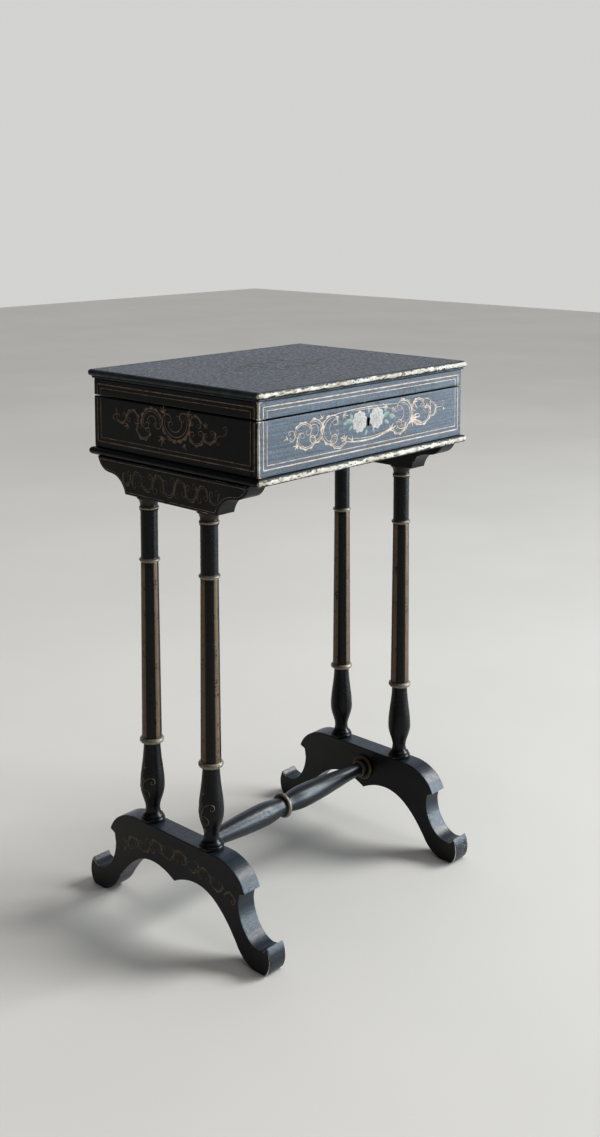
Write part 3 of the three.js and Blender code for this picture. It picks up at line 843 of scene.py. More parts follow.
def metal(name, bright, dark, roughness):
    """Tarnished metal: dull patches over a bright ground, with fine scratches."""
    material, tree, shader = new_material(name)
    patch = tree.ramp(tree.noise(tree.place(), 120.0, 6.0, 0.65), 0.36, 0.68)
    scratch = tree.noise(tree.place((1, 14, 14)), 260.0, 3.0)
    tree.feed(shader.inputs["Base Color"], tree.mix(patch, bright, dark))
    tree.feed(shader.inputs["Roughness"], tree.plus(roughness, tree.times(patch, 0.28)))
    shader.inputs["Metallic"].default_value = 1.0
    bump(tree, shader, scratch, 0.2, 0.0001)
    return material


def mirror_glass():
    """Old silvering: bright glass with brown foxing near the edges and a few spots."""
    material, tree, shader = new_material("old_mirror")
    spots = tree.ramp(tree.noise(tree.place(), 55.0, 6.0, 0.7), 0.63, 0.7)
    tree.feed(shader.inputs["Base Color"], tree.mix(spots, (0.86, 0.87, 0.86, 1), (0.2, 0.15, 0.1, 1)))
    tree.feed(shader.inputs["Roughness"], tree.plus(0.03, tree.times(spots, 0.5)))
    shader.inputs["Metallic"].default_value = 1.0
    return material


def polished_hardwood(name, along):
    """Red-brown wood: wavy rings stretched along the board, with pores."""
    material, tree, shader = new_material(name)
    stretch = {"x": (1.5, 22, 22), "y": (22, 1.5, 22)}[along]
    figure = tree.noise(tree.place(stretch), 3.0, 8.0, 0.6)
    pores = tree.noise(tree.place(tuple(s * 7 for s in stretch)), 9.0, 3.0, 0.7)
    base = colours().hardwood
    dark = scaled(base, 0.42)
    wood = tree.mix(tree.ramp(figure, 0.32, 0.68), solid_colour(dark), solid_colour(base))
    tree.feed(shader.inputs["Base Color"], tree.mix(tree.ramp(pores, 0.56, 0.7), wood, solid_colour(dark)))
    tree.feed(shader.inputs["Roughness"], tree.ramp(figure, 0.2, 0.8, 0.34, 0.5))
    bump(tree, shader, pores, 0.25, 0.0002)
    return material


def polished_bone():
    """Yellowed bone with fine upright lines."""
    material, tree, shader = new_material("polished_bone")
    lines = tree.ramp(tree.noise(tree.place((1, 1, 0.1)), 900.0, 3.0), 0.5, 0.7)
    tree.feed(shader.inputs["Base Color"], tree.mix(lines, (0.74, 0.66, 0.5, 1), (0.5, 0.4, 0.26, 1)))
    shader.inputs["Roughness"].default_value = 0.35
    return material


# ---- shapes of this table, in millimetres

def box_mm(node):
    """The two corners of a node's box, in millimetres."""
    low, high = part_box(node)
    return np.array(low) / MM, np.array(high) / MM


def centre_of(node):
    """The middle of a node's box, in millimetres."""
    low, high = box_mm(node)
    return (low + high) / 2


def foot_outline():
    """In (y, z): a cusped arch below, an upturned toe, a hollow and a notched shoulder up to the flat top."""
    return mirrored_outline(chain(
        bezier((0, 63), (12, 70), (26, 75), (42, 75), 16),
        bezier((42, 75), (72, 75), (96, 52), (118, 18), 24),
        bezier((118, 18), (126, 8), (136, 1), (146, 0), 12),
        straight((146, 0), (164, 0), 3),
        bezier((164, 0), (172, 4), (176.9, 22), (168, 37), 16),
        bezier((168, 37), (164, 31), (158, 29), (152, 29), 8),
        bezier((152, 29), (134, 31), (119, 52), (118, 75), 22),
        straight((118, 75), (120, 88), 4),
        straight((120, 88), (129, 92), 4),
        bezier((129, 92), (122, 112), (100, 124), (78, 124), 18),
        straight((78, 124), (0, 124), 12),
    ))


def apron_outline(top):
    """In (y, z): a straight lower edge, then a hollow arc and a round arc up to the base board."""
    hollow_start = math.degrees(math.asin((562 - 556) / 30))
    round_end = math.degrees(math.asin((top - 611) / 24.5))
    return mirrored_outline(chain(
        straight((0, 562), (86, 562), 10),
        arc((115.5, 556), 30, 180 - hollow_start, 90, 18),
        arc((117, 611), 24.5, -90, round_end, 18),
        straight((140.9, top), (0, top), 12),
    ))


def bead_arc(inner_radius, height, radius, steps=12):
    """A half-round bead that stands out from inner_radius, as (radius, height)."""
    return arc((inner_radius, height), radius, -90, 90, steps)


def column_profile():
    """(radius, height): base rings, vase-shaped bulb, ring, long tapered shaft, ring, neck, flared capital.

    It stands 0.1 mm clear of the foot below and of the apron above.
    """
    low = box_mm("foot_left")[1][2] + 0.1
    high = box_mm("apron_left")[0][2] - 0.1
    return chain(
        straight((12.4, low), (13, low + 0.05)),
        bead_arc(13, low + 3, 3),
        straight((13.1, low + 6.1), (14.1, low + 6.6)),
        bezier((14.1, low + 6.6), (14.4, 132.6), (10.6, 133.4), (10.1, 137), 8),
        bezier((10.1, 137), (9.7, 139), (9.5, 141), (9.5, 143), 6),
        bezier((9.5, 143), (10.5, 153), (16.15, 160), (16.15, 173.5), 22),
        bezier((16.15, 173.5), (16.15, 192), (12, 205), (11, 230), 28),
        straight((11, 230), (12.6, 231.2), 2),
        bead_arc(12.4, 235.5, 3.75),
        straight((12.7, 239.5), (13.1, 240.4), 2),
        straight((13.1, 240.4), (11.5, 475.2), 30),
        bead_arc(11.3, 478.6, 2.4),
        straight((11.3, 481.6), (11.3, 543.6), 10),
        straight((11.3, 543.6), (12.6, 544.4), 2),
        bead_arc(11.0, 547.4, 1.9, 8),
        straight((11.7, 550.2), (11.5, 551.4), 1),
        bezier((11.5, 551.4), (12.1, 556), (13.6, 559), (15.7, 560.0), 10),
        straight((15.8, 560.3), (15.8, high), 2),
    )


def stretcher_profile(shoulder):
    """(radius, place along the rail): two slender balusters that meet at a middle ring."""
    half = chain(
        arc((13.9, 0), 3.5, 0, 90, 8),
        straight((12.6, 4.1), (12.4, 5.6), 2),
        bezier((12.4, 5.6), (12.6, 16), (15.9, 24), (15.9, 41), 20),
        bezier((15.9, 41), (15.9, 88), (9.4, 132), (9.1, shoulder - 9), 40),
        straight((9.1, shoulder - 9), (10.2, shoulder - 8.3), 2),
        bead_arc(9.9, shoulder - 6.2, 1.8, 8),
        straight((9.6, shoulder - 3.9), (9.5, shoulder), 2),
    )
    return np.concatenate([half[:0:-1] * np.array([1, -1]), half])


def half_round(inset, middle, radius, steps=16):
    """Nosing points of (inset, height, wear): a half circle, most worn where it stands out furthest."""
    angle = np.radians(np.linspace(-90, 90, steps + 1))
    out = inset - radius * np.cos(angle)
    return list(zip(out, middle + radius * np.sin(angle), 0.25 + 0.75 * np.cos(angle) ** 2))


def collar_rim(low, high, edge):
    """(radius, place along the stretcher): a disc from low to high whose outer edge is half round."""
    return chain(
        straight((4, low), (edge - 1.8, low), 3),
        arc((edge - 2.1, low + 2.1), 2.1, -90, 90, 12),
        straight((edge - 2.4, high), (4, high), 3),
    )


def base_profile(low, high):
    """(inset, height, wear) over the base board's edge: flat, a half-round nosing, and flat."""
    radius = (high - low) / 2
    return [
        (30, low, 0.0), (9, low, 0.0), (radius + 1.2, low, 0.2),
        *half_round(radius, low + radius, radius),
        (radius + 0.9, high, 0.3), (12, high, 0.0), (16, high, 0.0),
    ]


def top_profile(low, high):
    """(inset, height, wear) over the lid top's edge: a fillet, a half-round nosing, and the lower field."""
    radius = 4.5
    middle = high - radius
    field = high - MOTIF_DEPTH
    return [
        (30, low, 0.0), (5.4, low, 0.1), (4.3, low + 0.4, 0.5), (4.0, low + 1.2, 0.3), (4.0, low + 2.4, 0.1),
        (4.4, middle - radius, 0.0),
        *half_round(radius, middle, radius),
        (6.5, field, 0.3), (9, field, 0.12), (13, field, 0.02), (17, field, 0.0),
    ]


def knob_profile(base, top):
    """(radius, height): a foot, a waist and a rounded cap."""
    return chain(
        straight((1.0, base), (2.6, base), 2),
        bezier((2.6, base), (2.4, base + 0.8), (1.4, base + 1.2), (1.5, base + 2.2), 8),
        bezier((1.5, base + 2.2), (3.6, base + 2.8), (4.4, top - 0.6), (0.2, top), 20),
    )


def keyhole_outline():
    """In (x, z): most of a circle, and a slot below it."""
    circle = arc((0, 662.4), 3, -48, 228, 24)
    slot = np.array([[-2.0, 654.4], [2.0, 654.4]])
    return np.concatenate([circle, slot])


def foot_wear(points):
    """The toes are rubbed most; elsewhere the wear changes a little in patches."""
    reach = np.abs(points[..., 1]) / MM
    return 0.42 + 0.31 * smooth_step(reach, 146, 168) + 0.1 * wobble(points / MM, 60.0, 8)


def apron_wear(points):
    """Rubbed evenly, a little more in patches."""
    return 0.5 + 0.14 * wobble(points / MM, 50.0, 9)


def column_marks(profile):
    """Gilt on the rings, capital and four upright bands of the shaft; light wear on what stands out."""
    height = profile[:, 1][:, None]
    low = profile[0, 1]
    angle = np.degrees(np.linspace(0, 2 * np.pi, sizes().turned_segments, endpoint=False))[None, :]
    from_band = np.abs((angle + 45) % 90 - 45)
    shaft = smooth_step(height, 239.6, 240.2) * (1 - smooth_step(height, 475.0, 475.6))
    bands = shaft * (1 - smooth_step(from_band, 14, 17.5))
    rings = sum(
        smooth_step(height, start - 0.3, start) * (1 - smooth_step(height, stop, stop + 0.3))
        for start, stop in ((231.6, 239.3), (476.1, 481.1), (545.4, 549.3))
    )
    capital = 0.2 * smooth_step(height, 550.6, 552)
    foot_line = 1 - smooth_step(height, low + 1.2, low + 1.6)
    gilt = np.clip(bands + rings + capital + 0.8 * foot_line, 0, 1)
    wear = 0.3 * smooth_step(profile[:, 0][:, None], 14, 16)
    return {"gilt": gilt, "wear": wear, "ring": rings}


# ---- scrollwork, in the plane of each face

def leafy_scroll(centre, size, facing, width, leaves=5):
    """A C scroll with a thinner line along its inside and curling leaves along its outside."""
    path = c_scroll(centre, size, facing)
    left = left_of(path)
    heading = np.degrees(np.arctan2(-left[:, 0], left[:, 1]))
    middle = slice(len(path) // 5, -(len(path) // 5))
    strokes = [(path, taper(width)), ((path + left * size * 0.085)[middle], taper(width * 0.7))]
    for root in np.linspace(0.3, 0.7, leaves) * (len(path) - 1):
        root = int(root)
        strokes.append((leaf_path(path[root], size * 0.25, heading[root] - 48, 96), drop(width * 1.2)))
    return strokes


def front_right():
    """The right half of the front's scrollwork, about the middle of the keyhole panel."""
    return [
        *leafy_scroll((74, 7), 46, 88, 2.2, 6),
        (c_scroll((63, 9), 27, 92), taper(1.3)),
        *leafy_scroll((113, -1), 34, 28, 2.1, 4),
        *leafy_scroll((103, 19), 25, 196, 1.7, 3),
        *leafy_scroll((134, 7), 24, 96, 1.6, 3),
        (c_scroll((121, 19), 19, 168), taper(1.3)),
        (s_scroll((150, 8), 20, -16), taper(1.2)),
        *leafy_scroll((64, -14), 25, 18, 1.7, 4),
        (bezier((-45, -18), (-20, -25), (22, -25), (50, -12), 28), taper(3.0)),
        (bezier((-30, -15.5), (-10, -20), (18, -20), (42, -12), 24), taper(1.2)),
        (leaf_path((22, -20), 32, 12, 14), drop(3.6)),
        (bezier((-78, 25), (-40, 30), (0, 31.5), (62, 26), 30), taper(1.9)),
        (bezier((-34, 26.5), (-8, 27.5), (26, 27), (50, 19), 24), taper(1.1)),
        *spray((44, -15), 17, 40, 4, 70, 3.0),
        *spray((86, -2), 30, -20, 5, 46, 3.4),
        *spray((93, 25), 19, -56, 3, 50, 3.0),
        *spray((38, 24), 15, 160, 4, 60, 2.0),
        *spray((52, 21), 13, -120, 3, 60, 1.9),
        *spray((118, 10), 13, 60, 3, 70, 1.9),
        *spray((158, 4), 8, -8, 3, 70, 1.5),
        *spray((75, -16), 12, -80, 3, 60, 1.9),
    ]


def front_left():
    """The left half: rounder scrolls that end in a small rosette."""
    return [
        *leafy_scroll((-74, 4), 44, -92, 2.0, 6),
        (c_scroll((-66, 6), 26, -90), taper(1.2)),
        *leafy_scroll((-99, 7), 36, 92, 2.0, 3),
        (c_scroll((-103, 8), 20, 80), taper(1.2)),
        *leafy_scroll((-117, -5), 32, -18, 1.8, 5),
        *leafy_scroll((-123, 12), 30, 186, 1.7, 5),
        (c_scroll((-143, 6), 16, 100), taper(1.5)),
        *leafy_scroll((-58, -15), 28, -22, 1.8, 4),
        *spray((-44, -16), 15, 130, 4, 80, 2.4),
        *spray((-30, -19), 14, 150, 3, 60, 2.4),
        *spray((-50, 24), 15, -30, 4, 60, 2.0),
        *spray((-62, 24), 12, -76, 3, 60, 1.9),
        *spray((-88, 24), 12, 120, 3, 70, 1.9),
        *spray((-132, -10), 12, 200, 4, 80, 2.0),
        *spray((-150, 4), 9, 196, 3, 80, 1.5),
    ]


def fitted(strokes, low, high):
    """Strokes stretched upright so that they lie between two levels."""
    heights = np.concatenate([points[:, 1] for points, _ in strokes])
    bottom = heights.min()
    scale = (high - low) / (heights.max() - bottom)
    return [((points - [0, bottom]) * [1, scale] + [0, low], width) for points, width in strokes]


def share_of(width, share):
    """A width that is a share of another all along."""
    return lambda t: share * width(t)


def thinned(strokes, share):
    """The same strokes with each width times share."""
    return [(points, share_of(width, share)) for points, width in strokes]


def front_scrollwork():
    """Both halves of the front's scrollwork, in the height of its panel."""
    return fitted(thinned(front_right() + front_left(), 0.84), 632.5, 682.6)


def top_motif():
    """A worn wreath of scrolls round the middle of the top."""
    strokes = []
    for way in (-1, 1):
        strokes += leafy_scroll((46 * way, 4), 46, -90 * way, 2.0)
        strokes += leafy_scroll((22 * way, 30), 30, 180 + 20 * way, 1.7, 4)
        strokes += leafy_scroll((22 * way, -26), 30, 14 * way, 1.7, 4)
        strokes += spray((70 * way, 2), 20, 90 - 90 * way, 5, 90, 2.6)
        strokes += spray((0, 14 * way), 16, 90 * way, 5, 120, 2.6)
    return strokes


def side_scrollwork():
    """Two large opposed scrolls with smaller ones and tails; it runs from the back edge to the front one."""
    return [
        *leafy_scroll((8, 662), 50, 8, 2.4, 7),
        (c_scroll((7, 665), 24, 30), taper(1.4)),
        *leafy_scroll((-38, 666), 38, 186, 2.1, 6),
        (c_scroll((-37, 664), 17, 170), taper(1.2)),
        *leafy_scroll((-75, 665), 24, 176, 1.7, 4),
        *leafy_scroll((-54, 648), 26, -14, 1.7, 4),
        *leafy_scroll((46, 652), 26, 10, 1.8, 4),
        *leafy_scroll((44, 672), 20, 170, 1.5, 3),
        *leafy_scroll((69, 656), 21, 22, 1.5, 4),
        *leafy_scroll((-97, 661), 19, 12, 1.4, 3),
        (s_scroll((90, 660), 24, -4), taper(1.2)),
        (s_scroll((-110, 664), 14, 12), taper(1.1)),
        *spray((-16, 676), 13, 80, 5, 110, 2.0),
        *spray((-17, 646), 15, -100, 5, 110, 2.0),
        *spray((30, 678), 12, 40, 4, 80, 1.8),
        *spray((61, 667), 11, 60, 4, 80, 1.7),
        *spray((22, 641), 11, -50, 3, 70, 1.8),
        *spray((-84, 654), 12, 230, 4, 80, 1.7),
    ]


def bulb_motif():
    """A small upright S with a curl each side, for a column's bulb."""
    return [
        (s_scroll((0, 176), 34, 96), taper(1.3)),
        (c_scroll((4, 188), 12, 70), taper(1.0)),
        (c_scroll((-4, 165), 12, 250), taper(1.0)),
        *spray((0, 198), 10, 90, 3, 60, 1.3),
        *spray((0, 152), 8, -90, 3, 60, 1.2),
    ]


def band_scrollwork(place, count, size, width):
    """Leafy scrolls along a line, turned up and down by turns.

    place(p) gives the centre and slope for p from -1 to 1; sizes shrink towards the ends.
    """
    strokes = []
    for index, p in enumerate(np.linspace(-1, 1, count)):
        centre, slope = place(p)
        facing = slope + 12 + 180 * (index % 2)
        strokes += leafy_scroll(centre, size * (1 - 0.26 * p * p), facing, width, 3)
    return strokes


def apron_scrollwork():
    """A straight band of scrolls along an apron."""
    return fitted(band_scrollwork(lambda p: ((82 * p, 583), 0), 9, 22, 1.2), 571, 597)


def foot_scrollwork():
    """A band of scrolls that bends down towards both ends of a foot."""
    def place(p):
        return (104 * p, 99 - 20 * p * p), -24 * p
    return band_scrollwork(place, 10, 25, 1.5)


def double_frame(half_width, low, high, inner, gap_low, gap_high):
    """The strokes of two keylines, the inner one inset by about inner, for the box and for the lid.

    The lines of the box stop at gap_low and those of the lid at gap_high, where the lid meets the box.
    """
    box, lid = [], []
    for width, shrink in ((1.9, 0.0), (1.2, inner)):
        right = half_width - shrink
        bottom, top = low + shrink * 0.85, high - shrink * 0.8
        for strokes, edge, gap in ((box, bottom, gap_low), (lid, top, gap_high)):
            strokes += [
                (straight((-right, gap), (-right, edge), 12), even(width)),
                (straight((-right, edge), (right, edge), 60), even(width)),
                (straight((right, edge), (right, gap), 12), even(width)),
            ]
    return box, lid


def keyline(outline, inset, width):
    """A line that follows an outline just inside it."""
    path = outline_inset(left_turning(outline), inset)
    step = np.linalg.norm(np.diff(path, axis=0), axis=1)
    return path[np.concatenate([[True], step > 0.3])], even(width)


# ---- roses

def petal(centre, length, width, heading, base_height, crown):
    """A petal: rings of a leaf-shaped curve shrink inwards while the height rises as crown (1 - rho^2).

    rho runs from 1 at the rim to 0.08, and the rim curls up by a quarter of the crown.
    """
    rho = np.concatenate([[1.0], np.linspace(1, 0.08, 6)])
    angle = np.linspace(0, 2 * np.pi, 20, endpoint=False)
    shape = np.stack([length / 2 * np.cos(angle), width / 2 * np.sin(angle) * (1 - 0.25 * np.cos(angle))], -1)
    flat = (shape[None] * rho[:, None, None]) @ turning(heading) + centre
    rise = base_height + crown * (1 - rho ** 2) + 0.25 * crown * np.exp(-((rho - 0.86) / 0.1) ** 2)
    rise[0] = -SUNK
    along = shape[:, 0] / length + 0.5
    tint = along[None, :] * rho[:, None] + 0.3 * (1 - rho[:, None])
    return loft(on_plane(flat, rise[:, None], "front"), tint=tint)


# Share of the rose's radius, number of petals, and height of the petals' base, from the outside in.
WHORLS = ((1.0, 9, 0.05), (0.74, 8, 0.16), (0.5, 7, 0.27), (0.28, 5, 0.38), (0.1, 3, 0.48))


def rose(centre, radius, turn):
    """Whorls of petals, each smaller and higher than the last."""
    petals = []
    for share, count, level in WHORLS:
        length = radius * (0.26 + 0.42 * share)
        for index in range(count):
            heading = turn + 360 * (index + share * 2) / count
            middle = np.array(centre) + pointing(heading) * radius * share * 0.62
            petals.append(petal(middle, length, length * 1.05, heading, level, 0.14))
    return petals


def rose_leaf(x, z, length, heading):
    """A leaf that starts at (x, z)."""
    middle = np.array((x, z)) + pointing(heading) * length / 2
    return petal(middle, length, length * 0.52, heading, 0.04, 0.16)


# (x, z, length, heading) of the leaves round the two roses.
ROSE_LEAVES = (
    (-31, 664, 13, 172), (-30, 668, 9, 140), (-31, 658, 9, 214), (-41, 662, 8, 170),
    (31, 664, 12, 12), (42, 662, 13, -8), (33, 657, 10, -24), (32, 670, 10, 38),
    (1, 671, 8, 96), (-3, 650, 8, 250), (9, 650, 7, 296), (50, 666, 8, 30),
)


# ---- operators, one for each group of like pieces

class TABLE_OT_finishes(bpy.types.Operator):
    """Builds the shared effects and every finish"""

    bl_idname = "sewing_table.finishes"
    bl_label = "Finishes"

    def execute(self, context):
        for build in (build_worn_edges, build_dust, build_combed_grain, build_crackle, build_flecks):
            build()
        # Lit and shaded copies of one lacquer: the front, the top, the stretcher and the feet's cut edges
        # carry painted sheen for the window's reflection, and the front's dust lies only on its lit face; the
        # sides, base and columns carry a trace of it.
        lacquer("lacquer_front", painted_sheen=0.02, dust=0.3, dust_scale=210.0, roughness=0.42, grain=1.0,
                brushed=2.0, lit_painted_sheen=1.0)
        lacquer("lacquer_sides", painted_sheen=0.02, dust=0.012, dust_scale=40.0, roughness=0.38, specular=0.25,
                brushed=0.45)
        lacquer("lacquer_base", painted_sheen=0.02, dust=0.012, dust_scale=40.0, threshold=0.98, roughness=0.36,
                specular=0.25, brushed=0.55)
        lacquer("lacquer_top", painted_sheen=0.2, dust=0.09, dust_scale=60.0, threshold=0.98, roughness=0.42,
                grain=1.2)
        lacquer("lacquer_feet", painted_sheen=0.02, dust=0.02, dust_scale=90.0, threshold=1.0, roughness=0.36,
                grain=0.5, specular=0.42, brushed=0.7, lit_painted_sheen=0.26)
        lacquer("lacquer_columns", painted_sheen=0.01, dust=0.01, dust_scale=90.0, roughness=0.3, grain=0.3, gilt=True,
                specular=0.28, brushed=0.5)
        lacquer("lacquer_stretcher", painted_sheen=0.16, dust=0.03, dust_scale=90.0, roughness=0.36, grain=0.4,
                gilt=True, specular=0.5, brushed=0.6)
        # The front's gilding is the lit copy, painted paler with the window's light; the sides keep the
        # darker dull copy.
        gilding("window_lit_gilding", scaled(colours().window_lit_gilt, 1.0), 0.34, 0.05)
        gilding("dull_gilding", scaled(colours().gilt, 0.62), 0.5, 0.3)
        gilding("worn_gilding", scaled(colours().gilt, 0.42), 0.7, 0.0)
        gilding("faded_gilding", scaled(colours().gilt, 0.5), 0.55, 0.25)
        petals_material()
        leaves_material()
        metal("tarnished_brass", (0.5, 0.34, 0.13, 1), (0.16, 0.1, 0.045, 1), 0.34)
        metal("dull_steel", (0.34, 0.34, 0.35, 1), (0.12, 0.1, 0.09, 1), 0.36)
        mirror_glass()
        polished_hardwood("hardwood_across", "x")
        polished_hardwood("hardwood_along", "y")
        polished_bone()
        return {"FINISHED"}


class TABLE_OT_feet(bpy.types.Operator):
    """Adds the two sawn feet"""

    bl_idname = "sewing_table.feet"
    bl_label = "Feet"

    def execute(self, context):
        edge = sizes().edge_radius / MM
        for side, _ in SIDES:
            node = f"foot_{side}"
            low, high = box_mm(node)
            board = sawn_board(foot_outline(), low[0], high[0], edge, foot_wear)
            new_piece(f"sawn_{node}", board, "stand", "lacquer_feet", [node])
        return {"FINISHED"}


class TABLE_OT_aprons(bpy.types.Operator):
    """Adds the two aprons under the box"""

    bl_idname = "sewing_table.aprons"
    bl_label = "Aprons"

    def execute(self, context):
        edge = sizes().edge_radius / MM
        for side, _ in SIDES:
            node = f"apron_{side}"
            low, high = box_mm(node)
            board = sawn_board(apron_outline(high[2]), low[0], high[0], edge, apron_wear)
            new_piece(f"sawn_{node}", board, "stand", "lacquer_sides", [node])
        return {"FINISHED"}


class TABLE_OT_columns(bpy.types.Operator):
    """Adds the four turned and gilded columns"""

    bl_idname = "sewing_table.columns"
    bl_label = "Columns"

    def execute(self, context):
        profile = column_profile()
        marks = column_marks(profile)
        for side, _ in SIDES:
            for end in ENDS:
                node = f"column_{end}_{side}"
                shape = turned(profile, centre_of(node) * [1, 1, 0], "z", **marks)
                new_piece(f"turned_{node}", shape, "stand", "lacquer_columns", [node])
        return {"FINISHED"}


class TABLE_OT_stretcher(bpy.types.Operator):
    """Adds the turned stretcher and its two gilded collars"""

    bl_idname = "sewing_table.stretcher"
    bl_label = "Stretcher"

    def execute(self, context):
        middle = centre_of("stretcher_collar_right")[2]
        shoulder = box_mm("stretcher_collar_right")[0][0]
        profile = stretcher_profile(shoulder - 0.1)
        place = np.abs(profile[:, 1])[:, None]
        ring = 1 - smooth_step(place, 3.0, 3.6)
        end_bead = smooth_step(place, shoulder - 8.4, shoulder - 8.1)
        gilt = np.clip(ring + end_bead, 0, 1)
        shape = turned(profile, (0, 0, middle), "x", gilt=gilt, wear=0.25 * ring, ring=ring)
        new_piece("turned_stretcher", shape, "stand", "lacquer_stretcher", ["stretcher"])
        for side, _ in SIDES:
            node = f"stretcher_collar_{side}"
            low, high = box_mm(node)
            edge = (high[2] - low[2]) / 2
            rim = collar_rim(low[0], high[0], edge)
            gilt = 0.8 * smooth_step(rim[:, :1], edge - 3.4, edge - 2.6)
            disc = turned(rim, (0, 0, middle), "x", gilt=gilt, wear=0 * gilt, ring=0 * gilt)
            new_piece(f"turned_{node}", disc, "stand", "lacquer_columns", [node])
        return {"FINISHED"}


def chips(seed):
    """How far an edge is knocked in, in millimetres: short and tiny chips, deepest along the front."""
    deepest = sizes().chip_depth / MM

    def depth(points):
        short = smooth_step(wobble(points, 9.0, seed), 0.2, 0.75)
        tiny = smooth_step(wobble(points, 3.1, seed + 1), 0.35, 0.9)
        front = smooth_step(-points[..., 1], 148, 156)
        return deepest * (short * 0.7 + tiny * 0.5) * (0.25 + 0.75 * front)
    return depth


class TABLE_OT_mouldings(bpy.types.Operator):
    """Adds the base board and the lid's top, each with a half-round nosing"""

    bl_idname = "sewing_table.mouldings"
    bl_label = "Base board and top"

    def execute(self, context):
        for node, body, finish, profile_of, seed in (
            ("base_board", "stand", "lacquer_base", base_profile, 21),
            ("lid_top", "lid", "lacquer_top", top_profile, 31),
        ):
            low, high = box_mm(node)
            board = moulded_board(high[0], high[1], profile_of(low[2], high[2]), chips(seed))
            new_piece(f"moulded_{node}", board, body, finish, [node])
        return {"FINISHED"}


def board_wear(node):
    """Edges of the front are worn most, above all its left end; other boards show a few rubs."""
    def scale(points):
        patch = 0.5 + 0.12 * wobble(points, 34.0, 12)
        left_end = smooth_step(-points[..., 0], 190, 199) * smooth_step(-points[..., 1], 147, 151)
        return patch + (0.52 * left_end if "front" in node else 0.0)
    return scale


def planed_piece(node, body, finish, edge=BOARD_EDGE):
    """Adds a planed board in place of a node."""
    board = planed_board(*box_mm(node), edge, board_wear(node))
    return new_piece(f"planed_{node}", board, body, finish, [node])


def hinge_recess(node, leaf):
    """A cutter a little larger than the part of a hinge leaf that is let into a board."""
    low, high = box_mm(leaf)
    board_low, board_high = box_mm(node)
    if "lid" in node:
        bottom, top = board_low[2] - 1, board_low[2] + 1.4
    else:
        bottom, top = board_high[2] - 1.4, board_high[2] + 1
    return block((low[0] - 0.1, low[1] - 0.4, bottom), (high[0] + 0.1, 160, top))


def add_four_boards(board, leaf, body, front_cutters):
    """Adds the front, back and side boards of the box or lid, with the front's and the hinges' recesses."""
    cut_piece(planed_piece(f"{board}_front", body, "lacquer_front"), front_cutters)
    back = planed_piece(f"{board}_back", body, "lacquer_sides")
    cut_piece(back, [hinge_recess(f"{board}_back", f"{leaf}_{side}") for side, _ in SIDES])
    for side, _ in SIDES:
        planed_piece(f"{board}_{side}", body, "lacquer_sides")


class TABLE_OT_box(bpy.types.Operator):
    """Adds the four sides of the box, with the keyhole, the lock's recess and the hinges' recesses"""

    bl_idname = "sewing_table.box"
    bl_label = "Box"

    def execute(self, context):
        low, high = box_mm("lock_case")
        recess = block(low - 0.3, high + np.array([0.3, 5, 5]))
        keyhole = prism_along_y(keyhole_outline(), -160, -147)
        add_four_boards("box", "hinge_box_leaf", "stand", [keyhole, recess])
        return {"FINISHED"}


class TABLE_OT_lid_rails(bpy.types.Operator):
    """Adds the lid's four rails"""

    bl_idname = "sewing_table.lid_rails"
    bl_label = "Lid rails"

    def execute(self, context):
        low, high = box_mm("link_plate")
        recess = block(low - np.array([0.1, 0.1, 0]), high + np.array([0.1, 3, 0.1]))
        add_four_boards("lid_rail", "hinge_lid_leaf", "lid", [recess])
        return {"FINISHED"}


TRAY_ACROSS = ("tray_floor", "tray_wall_front", "tray_wall_back", "tray_cross_divider_left",
               "tray_cross_divider_right", "tray_cross_divider_front", "tray_cross_divider_back")
TRAY_ALONG = ("tray_wall_left", "tray_wall_right", "tray_long_divider_left", "tray_long_divider_right")
LEDGES = ("tray_ledge_left", "tray_ledge_right")


class TABLE_OT_tray(bpy.types.Operator):
    """Adds the lift-out tray, its knobs and the ledges that it rests on"""

    bl_idname = "sewing_table.tray"
    bl_label = "Tray"

    def execute(self, context):
        for nodes, finish, body in (
            (TRAY_ACROSS, "hardwood_across", "tray"),
            (TRAY_ALONG, "hardwood_along", "tray"),
            (LEDGES, "hardwood_along", "stand"),
        ):
            for node in nodes:
                planed_piece(node, body, finish, TRAY_EDGE)
        for side, _ in SIDES:
            node = f"tray_knob_{side}"
            low, high = box_mm(node)
            profile = knob_profile(low[2], high[2])
            profile[:, 0] = np.minimum(profile[:, 0], (high[0] - low[0]) / 2)
            knob = turned(profile, centre_of(node) * [1, 1, 0], "z")
            new_piece(f"turned_{node}", knob, "tray", "polished_bone", [node])
        return {"FINISHED"}


class TABLE_OT_fittings(bpy.types.Operator):
    """Finishes the hinges, lock, link plate, mirror and its beading"""

    bl_idname = "sewing_table.fittings"
    bl_label = "Fittings"

    def execute(self, context):
        leaves = [f"hinge_{part}_leaf_{side}" for part in ("box", "lid") for side, _ in SIDES]
        dress([*leaves, "lock_case", "link_plate"], "tarnished_brass")
        dress(["hinge_pin_left", "hinge_pin_right", "lock_bolt"], "dull_steel")
        dress(["lid_mirror"], "old_mirror")
        dress(["mirror_bead"], "dull_gilding")
        return {"FINISHED"}


